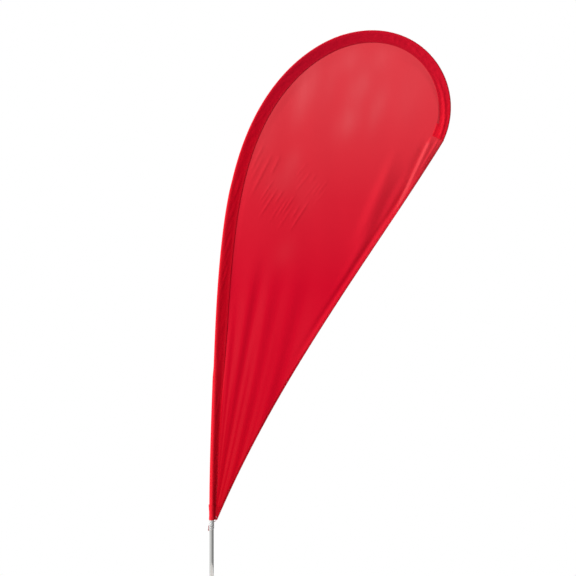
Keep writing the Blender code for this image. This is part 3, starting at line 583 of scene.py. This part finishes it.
def painted_sheen_strength(x, z):
    """Painted sheen and highlights: the soft lighter patches, the long fold's flank and the fan's lit slopes.
    """
    total = np.zeros_like(x)
    for middle_x, middle_z, wide, tall, strength in SHEEN_PATCHES:
        up = z - middle_z
        aside = x - middle_x - up * SHEEN_PATCH_LEAN
        total += strength * np.exp(-((aside / wide) ** 2) - (up / tall) ** 2)
    share, beside = along_line(x, z, *LIT_FLANK)
    fade = smoothstep(-0.1, 0.3, share) * (1 - smoothstep(0.98, 1.03, share))
    total += FLANK_STRENGTH * np.exp(-((beside / FLANK_WIDTH) ** 2)) * fade
    reach = 0.001
    slope = (fan_height(x + reach, z) - fan_height(x - reach, z)) / (2 * reach)
    total += np.clip(-SLOPE_LIT * slope, 0, SLOPE_MOST)
    return np.minimum(total, PAINTED_SHEEN_MOST)


def trailing_curve(share, inset=0.0):
    """Points on the free edge, from the tip pocket at 0 to the lower corner at 1, inset into the cloth."""
    share, inset = np.broadcast_arrays(np.asarray(share, float), inset)
    top = off_axis(POLE_TIP + TIP_CLEAR, between(SLEEVE_FIT, POLE_TIP) + SLEEVE_WALL)
    run = np.array([CORNER[0], 0, CORNER[1]]) - top
    length = np.linalg.norm(run)
    inward = np.array([run[2], 0, -run[0]]) / length
    bent = np.maximum(share, 1e-6) ** HOLLOW_SKEW
    slope = (4 * TRAILING_HOLLOW * (1 - 2 * bent) * HOLLOW_SKEW * bent / np.maximum(share, 1e-6))[..., None]
    square = inward * length - run / length * slope
    square /= np.linalg.norm(square, axis=-1, keepdims=True)
    hollow = (4 * TRAILING_HOLLOW * bent * (1 - bent))[..., None]
    return top + run * share[..., None] + inward * hollow + square * inset[..., None]


EDGE_POINTS = trailing_curve(np.linspace(0, 1, 600))
EDGE_LENGTH = np.linalg.norm(np.diff(EDGE_POINTS, axis=0), axis=1).sum()
PATCH_SHARE = 1 - (PATCH_TOP - FLAG_BOTTOM) / (EDGE_POINTS[0][2] - FLAG_BOTTOM)


def edge_place(x, z):
    """Distance down the free edge from the tip, and distance in from it."""
    top, low = EDGE_POINTS[0], EDGE_POINTS[-1]
    share, beside = along_line(x, z, top[0], top[2], low[0], low[2])
    bent = np.clip(share, 0, 1) ** HOLLOW_SKEW
    return share * EDGE_LENGTH, beside - 4 * TRAILING_HOLLOW * bent * (1 - bent)


def long_fold_height(x, z):
    """The ridges and valleys that run towards the tip pocket."""
    total = np.zeros_like(x)
    for x0, z0, x1, z1, left, right, height, last in LONG_FOLDS:
        share, beside = along_line(x, z, x1, z1, x0, z0)
        fade = smoothstep(-0.25, 0.25, share) * (1 - smoothstep(last, 1.10, share))
        narrow = 0.75 + 0.25 * np.clip(1 - share, 0, 1)
        width = np.where(beside < 0, left, right) * narrow
        total += height * fade * np.exp(-((beside / width) ** 2))
    return total


def edge_height(x, z):
    """The free edge curls towards the front, with a shallow valley behind the curl."""
    down, inside = edge_place(x, z)
    amount = smoothstep(0.10, 0.35, down) * (1 - smoothstep(0.85, 1.35, down))
    curl = -0.0082 * np.exp(-((np.maximum(inside, 0) / 0.012) ** 2))
    valley = 0.0060 * np.exp(-(((inside - 0.026) / 0.013) ** 2))
    return amount * (curl + valley)


def cloth_height(x, z, free=1.0):
    """How far the cloth stands out of its plane, along +Y. free is 0 where it is sewn, 1 where it hangs."""
    down, inside = edge_place(x, z)
    streaks = 0.0014 * noise_at(np.stack([x * 9, np.zeros_like(x), z * 1.8], -1), 1)
    wide = 0.009 * noise_at(np.stack([x * 2.2, np.zeros_like(x), z * 1.5], -1), 3)
    belly = -0.012 * np.sin(np.pi * np.clip((z - 0.5) / 1.7, 0, 1)) * smoothstep(0.0, 0.35, x)
    loose = np.exp(-np.maximum(inside, 0) / 0.09) * smoothstep(0.1, 0.5, down)
    flutter = 0.004 * np.sin(down * 9.5 + 0.6) * loose
    calm = smoothstep(0.06, 0.35, np.hypot(x - CORNER[0], z - CORNER[1]))
    pocket = smoothstep(0.0, 0.05, np.hypot(x - EDGE_POINTS[0][0], z - EDGE_POINTS[0][2]))
    folds = fan_height(x, z) + crease_height(x, z) + long_fold_height(x, z) * pocket + edge_height(x, z)
    return (folds + (streaks + wide + belly + flutter) * calm * pocket) * free


# -------------------- the panel
PANEL_ROWS, PANEL_COLUMNS = 600, 300
PANEL_TUCK = 0.011  # how far the panel reaches in between the sleeve's two layers
EXTRA_ROUND_TOP = 1.06  # above 1, more of the seam's extra length is round the top


def flange_width(seam, radius, most):
    """Width of the part of the sleeve where its two layers are sewn flat together."""
    return np.minimum(most, 0.35 * (seam - radius))


def panel_points():
    """A ruled grid of points from the sleeve's seam to the free edge, row by row up the flag."""
    share = np.linspace(0, 1, PANEL_ROWS)
    reach = POLE_TIP - 0.004 - PATCH_TOP
    along = PATCH_TOP - 0.002 + reach * share
    tuck = flange_width(between(SLEEVE_SEAM, along), between(SLEEVE_FIT, along), PANEL_TUCK)
    left = off_axis(along, -(between(SLEEVE_SEAM, along) - tuck))
    pace = share**EXTRA_ROUND_TOP
    right = trailing_curve((PATCH_SHARE + 0.005) * (1 - pace) - 0.002 * pace, 0.0015)
    across = np.linspace(0, 1, PANEL_COLUMNS)
    flat = left[:, None] + (right - left)[:, None] * across[None, :, None]
    from_seam = np.linalg.norm(flat - left[:, None], axis=-1)
    return flat, from_seam, tuck


def make_panel(mat):
    """The single layer of cloth, with its folds and its patches of painted sheen."""
    flat, from_seam, tuck = panel_points()
    x, z = flat[..., 0], flat[..., 2]
    ease = 0.006 + 0.05 * smoothstep(0.9, 1.6, z)
    free = smoothstep(0, 1, (from_seam - tuck[:, None]) / ease)
    points = flat.copy()
    points[..., 1] = cloth_height(x, z, free)
    panel = grid_piece("panel_fabric", points, mat)
    say(panel, "painted_sheen", painted_sheen_strength(x, z))
    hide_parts("flag_panel")
    return panel


# -------------------- the sleeve
FLANGE = 0.012
FLANGE_LIFT = 0.0005
SLEEVE_TIGHTER = 0.0008  # the visual sleeve's middle surface lies inside the CAD sleeve's
FLANGE_STEPS, FLAT_STEPS, ROUND_STEPS = 4, 12, 12


def sleeve_ring(along):
    """(outward, across) round the sleeve's section, from its back edge to its front, and its looseness."""
    radius, seam = between(SLEEVE_FIT, along) - SLEEVE_TIGHTER, between(SLEEVE_SEAM, along)
    flange = flange_width(seam, radius, FLANGE)
    start = seam - flange
    lean = math.atan2(FLANGE_LIFT, start)
    leave = lean + math.acos(min(1.0, radius / math.hypot(start, FLANGE_LIFT)))
    sewn = [(-seam + flange * i / FLANGE_STEPS, FLANGE_LIFT) for i in range(FLANGE_STEPS)]
    touch = (-radius * math.cos(leave), radius * math.sin(leave))
    flat = [i / FLAT_STEPS for i in range(FLAT_STEPS)]
    straight = [(-start + (touch[0] + start) * t, FLANGE_LIFT + (touch[1] - FLANGE_LIFT) * t) for t in flat]
    turns = [leave + (math.pi - leave) * i / ROUND_STEPS for i in range(ROUND_STEPS + 1)]
    round_it = [(-radius * math.cos(t), radius * math.sin(t)) for t in turns]
    half = sewn + straight + round_it
    loose = [0] * FLANGE_STEPS + [math.sin(math.pi * t) for t in flat] + [0] * (ROUND_STEPS + 1)
    whole = half + [(a, -b) for a, b in reversed(half[:-1])]
    return whole, loose + loose[-2::-1]


def sleeve_points(along):
    """The sleeve's surface at each station, with small creases where it isn't tight on the pole."""
    rings = [sleeve_ring(s) for s in along]
    section = np.array([ring[0] for ring in rings])
    loose = np.array([ring[1] for ring in rings])
    outward, across = section[..., 0], section[..., 1]
    side = np.sign(across)
    width = between(SLEEVE_SEAM, along)[:, None]
    place = np.stack([np.broadcast_to(along[:, None], outward.shape) * 30, outward * 60, side * 4.0], -1)
    slant = np.stack([(along[:, None] * 24 + outward * 90), outward * 22, side * 4.0 + 9], -1)
    crease = 0.0011 * noise_at(place, 4) + 0.0013 * noise_at(slant, 5)
    pucker = 0.0010 * np.maximum(0, np.sin(along * 170 + 2 * np.sin(along * 23)))[:, None]
    lift = (crease + pucker * smoothstep(2.9, 3.3, along)[:, None]) * loose * np.minimum(1, width / 0.05)
    hump = tip_humps(along[:, None], outward)
    across = across + side * np.maximum(lift + hump * loose, -0.0010)
    return off_axis(along[:, None], outward, across)


def tip_humps(along, outward):
    """The long soft fold and the short puckers that the sleeve has near the pole's tip."""
    beside = outward + 0.030 - (along - 3.60) * 0.06
    long_fold = 0.0035 * np.exp(-((beside / 0.0075) ** 2)) * smoothstep(3.52, 3.60, along)
    short = 0.0
    for at, height in ((3.245, 0.0022), (3.262, 0.0016), (3.690, 0.0016)):
        line = along - at + (outward + 0.03) * 0.45
        short = short + height * np.exp(-((line / 0.0045) ** 2))
    return long_fold + short


def say_painted_highlight(obj, along):
    """Where the sleeve gets a painted highlight: the strip where it wraps the sunlit pole, and painted light
    coming through near the slack tip.
    """
    half = np.array([0] * (FLANGE_STEPS + FLAT_STEPS - 2) + [0.3, 0.7] + [1] * (ROUND_STEPS + 1))
    on_pole = np.concatenate([half, half[-2::-1]])
    # The painted highlight fades up the pole where its tubes get thinner.
    tube = 1 - 0.55 * smoothstep(1.05, 1.50, along) - 0.30 * smoothstep(1.8, 2.6, along)
    slack = 0.20 * smoothstep(2.7, 3.5, along) + 0.15 * smoothstep(3.6, 3.8, along)
    values = np.clip(on_pole[None, :] * tube[:, None] + slack[:, None], 0, 1)
    say(obj, "painted_highlight", values)


def solidify(obj, thickness):
    """Gives the cloth a thickness, on its outer side."""
    modifier = obj.modifiers.new("cloth", "SOLIDIFY")
    modifier.thickness = thickness
    modifier.offset = 1.0


POCKET_LIFT = 0.0009  # for the cloth that the pocket goes over
# The pocket's rolled end and the stitched pinch behind it: distance from the tip, half-width and height.
POCKET_FOLDS = ((0.005, 0.0035, 0.0016), (0.014, 0.0040, -0.0008))


def pocket_points(along):
    """The tip pocket's surface: the sleeve's, moved out, with a rolled end."""
    points = sleeve_points(along)
    out = POCKET_LIFT
    for from_tip, width, height in POCKET_FOLDS:
        out = out + height * np.exp(-(((along - POLE_TIP + from_tip) / width) ** 2))
    side = np.sign(points[..., 1:2])
    return points + side * out[:, None, None] * np.array([0, 1, 0])


def make_sleeve(mat):
    """The long sleeve and, over its upper end, the tip pocket."""
    end = POLE_TIP - POCKET_LENGTH
    along = np.linspace(FLAG_BOTTOM, end, 470)
    sleeve = grid_piece("sleeve_fabric", sleeve_points(along), mat)
    say_painted_highlight(sleeve, along)
    solidify(sleeve, 0.0006)
    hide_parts("pole_sleeve")

    along = np.linspace(end - 0.004, POLE_TIP, 48)
    points = pocket_points(along)
    rows, columns = points.shape[:2]
    first = (rows - 1) * columns
    last = first + columns - 1
    closing = [(first + i, first + i + 1, last - 1 - i, last - i) for i in range((columns - 1) // 2)]
    pocket = grid_piece("pocket_fabric", points, mat, closing)
    say_painted_highlight(pocket, along)
    solidify(pocket, 0.0008)
    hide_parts("tip_pocket")


MOUTH_BAND = 0.072
# The band's turned hem: (distance above the sleeve's lower edge, how far it stands off the sleeve).
MOUTH_HEM = ((-0.0010, 0.0004), (-0.0004, 0.0012), (0.0020, 0.0016), (0.0120, 0.0016), (0.0140, 0.0009))


def mouth_lift(up):
    """How far the band round the sleeve's mouth stands off it, from its hem to its loose upper edge."""
    return between(MOUTH_HEM, up) + 0.0020 * smoothstep(0.030, 0.066, up)


def make_sleeve_mouth(mat):
    """The doubled band round the sleeve's open lower end."""
    up = np.concatenate([[-0.0006, -0.0010, -0.0004], np.linspace(0.001, MOUTH_BAND, 30)])
    rings = []
    for height, out in zip(up, mouth_lift(up)):
        section = np.array(sleeve_ring(FLAG_BOTTOM + height)[0])
        size = np.linalg.norm(section, axis=1, keepdims=True)
        rings.append(section * (1 + out * band_reach(section) / size))
    section = np.array(rings)
    points = off_axis(FLAG_BOTTOM + up[:, None], section[..., 0], section[..., 1])
    mouth = grid_piece("sleeve_mouth", points, mat)
    say_painted_highlight(mouth, FLAG_BOTTOM + up)
    solidify(mouth, 0.0005)


def band_reach(section):
    """The band is loose on the pole's outer side, and sewn down at the sleeve's edge."""
    return 0.45 + 0.55 * smoothstep(-0.004, 0.010, section[:, :1])


# -------------------- the hem and the corner
# The folded hem's section: distance in from the free edge, and out of the cloth's middle.
HEM_SECTION = (
    (0.0, 0.0), (0.0005, 0.0008), (0.004, 0.0011), (0.008, 0.0010), (0.0115, 0.0011), (0.0121, 0.0006),
    (0.0121, -0.0006), (0.0115, -0.0011), (0.008, -0.0010), (0.004, -0.0011), (0.0005, -0.0008),
)


def make_hem(mat):
    """The free edge folded over twice: a flat tube that follows the cloth's folds."""
    share = np.linspace(-0.002, PATCH_SHARE + 0.003, 520)
    rows = []
    for inset, lift in HEM_SECTION:
        points = trailing_curve(share, inset)
        points[:, 1] = cloth_height(points[:, 0], points[:, 2]) + lift
        rows.append(points)
    points = np.stack(rows, 1)
    points[..., 1] += 0.0005 * noise_at(points * np.array([90, 1, 90]), 6)
    count = points.shape[1]
    faces = [tuple(f) for f in grid_faces(len(share), count, closed=True)]
    faces.append(tuple(range(count)))
    faces.append(tuple(reversed(range((len(share) - 1) * count, len(share) * count))))
    hem = mesh_piece("hem_fabric", points.reshape(-1, 3), faces, mat)
    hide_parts("trailing_hem")
    return hem


CORNER_ROWS, CORNER_COLUMNS = 64, 34
PATCH_HOLE = 0.0030  # radius, hidden under the eyelet's flange


def corner_outline():
    """The patch's edge at the seam and its free edge, as rows of points going up."""
    along = np.linspace(FLAG_BOTTOM + 0.0005, PATCH_TOP, CORNER_ROWS)
    left = off_axis(along, -(between(SLEEVE_SEAM, along) - 0.0015))
    right = trailing_curve(np.linspace(1, PATCH_SHARE, CORNER_ROWS), 0.0002)
    return left, right


def make_corner(mat):
    """The doubled corner: a crowned pad of webbing with a hole for the eyelet."""
    left, right = corner_outline()
    across, up = np.linspace(0, 1, CORNER_COLUMNS), np.linspace(0, 1, CORNER_ROWS)
    flat = left[:, None] + (right - left)[:, None] * across[None, :, None]
    x, z = flat[..., 0], flat[..., 2]
    edge = np.minimum(np.minimum(across, 1 - across)[None, :] * 6, 1)
    rim = np.minimum(np.minimum(up, 1 - up)[:, None] * 7, 1)
    swell = 0.0008 + 0.0009 * np.sqrt(edge * rim)
    from_eyelet = np.hypot(x - EYELET[0], z - EYELET[1]).reshape(-1)
    points = []
    for side in (-1, 1):
        layer = flat.copy()
        layer[..., 1] = side * swell
        points.append(layer.reshape(-1, 3))
    quads = grid_faces(CORNER_ROWS, CORNER_COLUMNS)
    quads = quads[from_eyelet[quads].min(1) > PATCH_HOLE]
    count = CORNER_ROWS * CORNER_COLUMNS
    faces = [tuple(q) for q in quads] + [tuple(reversed(q + count)) for q in quads]
    edges = dict.fromkeys(pair for a, b, c, d in quads for pair in ((a, b), (b, c), (c, d), (d, a)))
    faces += [(b, a, a + count, b + count) for a, b in edges if (b, a) not in edges]
    corner = mesh_piece("corner_fabric", np.concatenate(points), faces, mat)
    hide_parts("corner_patch")


# -------------------- stitching
STITCH_PITCH, STITCH_LENGTH, STITCH_RADIUS = 0.0034, 0.0027, 0.00028
STITCH_SIDES = 5
# A stitch's shape: share of its length, and thickness and height there in radii.
STITCH_RINGS = ((0.0, 0.3, 0.0), (0.22, 1.0, 0.35), (0.5, 1.0, 0.5), (0.78, 1.0, 0.35), (1.0, 0.3, 0.0))


def stitch_row(path, out):
    """Points, side faces and end faces of stitches along a path, each lifted along the outward directions."""
    gaps = np.linalg.norm(np.diff(path, axis=0), axis=1)
    along = np.concatenate([[0], np.cumsum(gaps)])
    starts = np.arange(0, along[-1] - STITCH_LENGTH, STITCH_PITCH)

    def at(places, values):
        return np.stack([np.interp(places, along, values[:, k]) for k in range(3)], -1)

    begin, end = at(starts, path), at(starts + STITCH_LENGTH, path)
    lift = at(starts + STITCH_LENGTH / 2, out)
    lift /= np.linalg.norm(lift, axis=1, keepdims=True)
    run = end - begin
    run /= np.linalg.norm(run, axis=1, keepdims=True)
    side = np.cross(run, lift)
    points = []
    for share, size, rise in STITCH_RINGS:
        middle = begin + (end - begin) * share + lift * rise * STITCH_RADIUS
        for k in range(STITCH_SIDES):
            turn = math.tau * k / STITCH_SIDES
            way = side * math.cos(turn) * 1.2 + lift * math.sin(turn)
            points.append(middle + way * STITCH_RADIUS * size)
    points = np.stack(points, 1)
    count = points.shape[1]
    one = grid_faces(len(STITCH_RINGS), STITCH_SIDES, closed=True)
    ring = np.arange(STITCH_SIDES)
    firsts = [count * i for i in range(len(starts))]
    faces = np.concatenate([one + first for first in firsts])
    caps = [cap for first in firsts for cap in (first + ring[::-1], first + count - STITCH_SIDES + ring)]
    return points.reshape(-1, 3), faces, caps


def make_stitches(name, rows, mat):
    """One piece of all the stitch rows in it."""
    points, faces, total = [], [], 0
    for path, out in rows:
        made, quads, caps = stitch_row(path, out)
        points.append(made)
        faces += [tuple(face + total) for face in (*quads, *caps)]
        total += len(made)
    piece = mesh_piece(name, np.concatenate(points), faces, mat)
    return piece


def facing(path, side):
    """Outward directions for a path on the cloth's back (side 1) or front (side -1)."""
    return np.tile([0.0, float(side), 0.0], (len(path), 1))


def seam_rows():
    """Two rows along the sleeve's edge, front and back."""
    rows = []
    along = np.linspace(PATCH_TOP + 0.002, POLE_TIP - POCKET_LENGTH - 0.002, 900)
    seam = between(SLEEVE_SEAM, along)
    flange = flange_width(seam, between(SLEEVE_FIT, along), FLANGE)
    for share in (0.25, 0.75):
        for side in (-1, 1):
            path = off_axis(along, -(seam - flange * share), side * (FLANGE_LIFT + 0.0007))
            rows.append((path, facing(path, side)))
    return rows


def hem_rows():
    """Two rows along the hem, front and back."""
    rows = []
    share = np.linspace(0.008, PATCH_SHARE, 900)
    for inset in (0.0024, 0.0098):
        for side in (-1, 1):
            path = trailing_curve(share, inset)
            path[:, 1] = cloth_height(path[:, 0], path[:, 2]) + side * 0.0013
            rows.append((path, facing(path, side)))
    return rows


def pocket_rows():
    """Two rows across the pocket's mouth and one across its end, front and back."""
    rows = []
    end = POLE_TIP - POCKET_LENGTH
    for along in (end + 0.001, end + 0.005, POLE_TIP - 0.008):
        section = pocket_points(np.array([along]))[0]
        half = len(section) // 2
        for path, side in ((section[1 : half - 9], 1), (section[-2 : half + 9 : -1], -1)):
            rows.append((path + np.array([0, side * 0.0010, 0]), facing(path, side)))
    return rows


def corner_rows():
    """A box and a cross on both faces of the corner patch, above the eyelet."""
    left, right = corner_outline()

    def part_way(row, share):
        at = share * (CORNER_ROWS - 1)
        return np.array([np.interp(at, range(CORNER_ROWS), row[:, k]) for k in range(3)])

    def inside(share_up, share_across):
        a, b = part_way(left, share_up), part_way(right, share_up)
        return a + (b - a) * share_across

    low_left, low_right = inside(0.42, 0.16), inside(0.42, 0.84)
    high_left, high_right = inside(0.93, 0.12), inside(0.93, 0.90)
    lines = (
        (low_left, low_right), (low_right, high_right), (high_right, high_left), (high_left, low_left),
        (low_left, high_right), (low_right, high_left),
    )
    rows = []
    for a, b in lines:
        for side in (-1, 1):
            path = a + (b - a) * np.linspace(0, 1, 24)[:, None]
            path[:, 1] = side * 0.0019
            rows.append((path, facing(path, side)))
    return rows


def mouth_rows():
    """Rows right round the band at the sleeve's mouth: two along its hem and one near its upper edge."""
    rows = []
    for up in (0.0030, 0.0095, MOUTH_BAND - 0.004):
        section = np.array(sleeve_ring(FLAG_BOTTOM + up)[0])
        size = np.linalg.norm(section, axis=1, keepdims=True)
        out = mouth_lift(up) * band_reach(section) + 0.0006
        path = off_axis(FLAG_BOTTOM + up, *(section * (1 + out / size)).T)
        rows.append((path, path - off_axis(FLAG_BOTTOM + up, 0.0)))
    return rows


# -------------------- the elastic cord
# The route, as in the CAD model: from the crimp up through the eyelet, down at the front, behind the pole,
# round the peg and back to the crimp.
CORD_ROUTE = (
    (0.0105, 0.0134, 0.4985), (0.0150, 0.0098, 0.5030), (0.0190, 0.0068, 0.5085),
    (0.0214, 0.0040, 0.5118), (0.0222, 0.0000, 0.5127), (0.0223, -0.0040, 0.5108),
    (0.0217, -0.0052, 0.5050), (0.0208, -0.0044, 0.4995), (0.0195, -0.0010, 0.4958),
    (0.0172, 0.0038, 0.4935), (0.0131, 0.0085, 0.4905), (0.0062, 0.0134, 0.4860),
    (-0.0020, 0.0145, 0.4810), (-0.0095, 0.0108, 0.4755), (-0.0136, 0.0045, 0.4705),
    (-0.0140, -0.0018, 0.4655), (-0.0139, -0.0046, 0.4600), (-0.0138, -0.0052, 0.4545),
    (-0.0138, -0.0036, 0.4502), (-0.0138, 0.0000, 0.4486), (-0.0138, 0.0036, 0.4502),
    (-0.0138, 0.0052, 0.4545), (-0.0138, 0.0062, 0.4610), (-0.0128, 0.0082, 0.4690),
    (-0.0095, 0.0115, 0.4790), (-0.0040, 0.0144, 0.4865), (0.0015, 0.0148, 0.4915),
)


def smooth_route(points, per_span):
    """A Catmull-Rom curve through the points."""
    knots = [Vector(p) for p in points]
    knots = [2 * knots[0] - knots[1], *knots, 2 * knots[-1] - knots[-2]]
    found = []
    for a, b, c, d in zip(knots, knots[1:], knots[2:], knots[3:]):
        for i in range(per_span):
            t = i / per_span
            square, cube = 2 * a - 5 * b + 4 * c - d, 3 * b - a - 3 * c + d
            found.append(0.5 * (2 * b + (c - a) * t + square * t**2 + cube * t**3))
    return np.array([*found, knots[-2]])


def tube(path, radius, sides):
    """Rings round a path, without twist, and the faces between them with both ends closed."""
    run = np.gradient(path, axis=0)
    run /= np.linalg.norm(run, axis=1, keepdims=True)
    side = np.cross(run[0], (0, 1, 0))
    rings = []
    for point, way in zip(path, run):
        side = side - way * side.dot(way)
        side /= np.linalg.norm(side)
        other = np.cross(way, side)
        turns = np.arange(sides) * math.tau / sides
        rings.append(point + radius * (np.cos(turns)[:, None] * side + np.sin(turns)[:, None] * other))
    faces = [tuple(f) for f in grid_faces(len(path), sides, closed=True)]
    last = (len(path) - 1) * sides
    faces += [tuple(reversed(range(sides))), tuple(range(last, last + sides))]
    return np.concatenate(rings), faces


def make_cord(mat):
    """The elastic loop, which stretches as the collar slides down the tube."""
    path = smooth_route(CORD_ROUTE, 8)
    points, faces = tube(path, CORD_DIAMETER / 2, 14)
    cord = mesh_piece("elastic_cord", points, faces, mat, body=None)
    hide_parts("tension_cord")
    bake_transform(cord)


# -------------------- the CAD nodes that stay
# Rounding of each CAD node's hard edges.
ROUNDING = {
    "lower_leg": 0.0008, "upper_leg": 0.0008, "hub_housing": 0.0006, "tension_collar": 0.0004,
    "clamp_knob": 0.0006, "pivot_bolt": 0.0003, "lock_nut": 0.0003, "nut_cap": 0.0004, "dust_cap": 0.0004,
    "pole_foot_ring": 0.0004, "lower_tube": 0.0002, "spindle": 0.0003,
}
FASTENER_ROUNDING = 0.0003


def smooth_faces():
    """A modifier's nodes that shade a mesh smooth and leave out the normals that it was loaded with."""
    group = bpy.data.node_groups.new("smooth_faces", "GeometryNodeTree")
    for way in ("INPUT", "OUTPUT"):
        group.interface.new_socket("Geometry", in_out=way, socket_type="NodeSocketGeometry")
    start, end = (group.nodes.new(kind) for kind in ("NodeGroupInput", "NodeGroupOutput"))
    plain = group.nodes.new("GeometryNodeRemoveAttribute")
    plain.inputs["Name"].default_value = "custom_normal"
    smooth = group.nodes.new("GeometryNodeSetShadeSmooth")
    for a, b in ((start, plain), (plain, smooth), (smooth, end)):
        group.links.new(a.outputs[0], b.inputs[0])
    return group


def finish_cad(materials):
    """Gives every CAD node its material, welded smooth faces and a small rounding on its hard edges."""
    group = smooth_faces()
    slots = {row["node"]: row["material_slot"] for row in frame["record"]["subparts"]}
    for name, obj in frame["nodes"].items():
        if obj.hide_render:
            continue
        for slot in obj.material_slots:
            slot.material = materials[slots[name]]
        obj.modifiers.new("smooth", "NODES").node_group = group
        weld = obj.modifiers.new("weld", "WELD")
        weld.merge_threshold = 0.00002
        width = ROUNDING.get(name, FASTENER_ROUNDING if name.startswith(("foot_", "hub_bolt")) else 0)
        if width:
            bevel = obj.modifiers.new("rounding", "BEVEL")
            bevel.width = width
            bevel.segments = 2
            bevel.limit_method = "ANGLE"
            bevel.angle_limit = math.radians(40)
        split = obj.modifiers.new("sharp", "EDGE_SPLIT")
        split.split_angle = math.radians(38)


# -------------------- all together
def main():
    make_camera()
    elastic = braid("elastic_braid", (0.62, 0.035, 0.05))
    make_cord(elastic)
    make_stage()
    check_axis()

    # The panel's colour up the flag, paler and lighter towards the top: painted sheen from the sky.
    panel_stops = [
        (0.50, (0.60, 0.0002, 0.010)),
        (1.10, (0.65, 0.0012, 0.018)),
        (1.60, (0.65, 0.0022, 0.021)),
        (2.00, (0.67, 0.014, 0.032)),
        (2.24, (0.695, 0.028, 0.044)),
        (2.62, (0.705, 0.045, 0.060)),
    ]
    # The sleeve's colour, darker than the panel's: painted shade for the doubled cloth that lets less light
    # through from behind.
    sleeve_stops = [
        (0.50, (0.55, 0.0002, 0.010)),
        (1.10, (0.60, 0.0002, 0.012)),
        (1.60, (0.62, 0.0002, 0.013)),
        (2.25, (0.62, 0.0004, 0.014)),
        (2.62, (0.53, 0.0020, 0.019)),
    ]
    panel_cloth = fabric("panel_knit", panel_stops, 0.075, 0.28)
    # The sleeve's bright red is its painted highlight over the sunlit pole.
    sleeve_cloth = fabric("sleeve_knit", sleeve_stops, 0.01, 0.06, painted_highlight=(0.92, 0.012, 0.030))
    thread = thread_material("red_thread", (0.42, 0.004, 0.015))

    panel = make_panel(panel_cloth)
    make_sleeve(sleeve_cloth)
    make_sleeve_mouth(sleeve_cloth)
    hem = make_hem(panel_cloth)
    make_corner(sleeve_cloth)
    seam = make_stitches("seam_stitches", seam_rows(), thread)
    hem_thread = make_stitches("hem_stitches", hem_rows(), thread)
    make_stitches("pocket_stitches", pocket_rows(), thread)
    make_stitches("corner_stitches", corner_rows() + mouth_rows(), thread)

    finish_cad(
        {
            "panel_cloth": panel_cloth,
            "sleeve_cloth": sleeve_cloth,
            "elastic": elastic,
            "aluminium": metal("satin_aluminium", (0.74, 0.74, 0.72), 0.07, (40, 40, 3), 0.03, 0.05),
            "fibreglass": glass_fibre("fibreglass_rod"),
            "zinc_steel": metal(
                "zinc_plate", (0.62, 0.63, 0.62), 0.30, (30, 30, 30), 0.2, 0.5, (0.42, 0.40, 0.36)
            ),
            "bearing_steel": metal("ground_steel", (0.68, 0.68, 0.69), 0.16, (4, 4, 80), 0.1),
            "coated_steel": powder_coat("grey_powder_coat", (0.20, 0.205, 0.21)),
            "white_nylon": moulded("white_nylon", (0.66, 0.66, 0.64), 0.45, 500.0, 0.15, 0.1, 0.8),
            "black_rubber": moulded("black_rubber", (0.022, 0.022, 0.022), 0.75, 900.0, 0.4, 0.22),
            "brass": metal("turned_brass", (0.72, 0.52, 0.22), 0.28, (20, 20, 90), 0.2),
            "red_lacquer": lacquer("red_lacquer", (0.42, 0.004, 0.015)),
        }
    )


main()
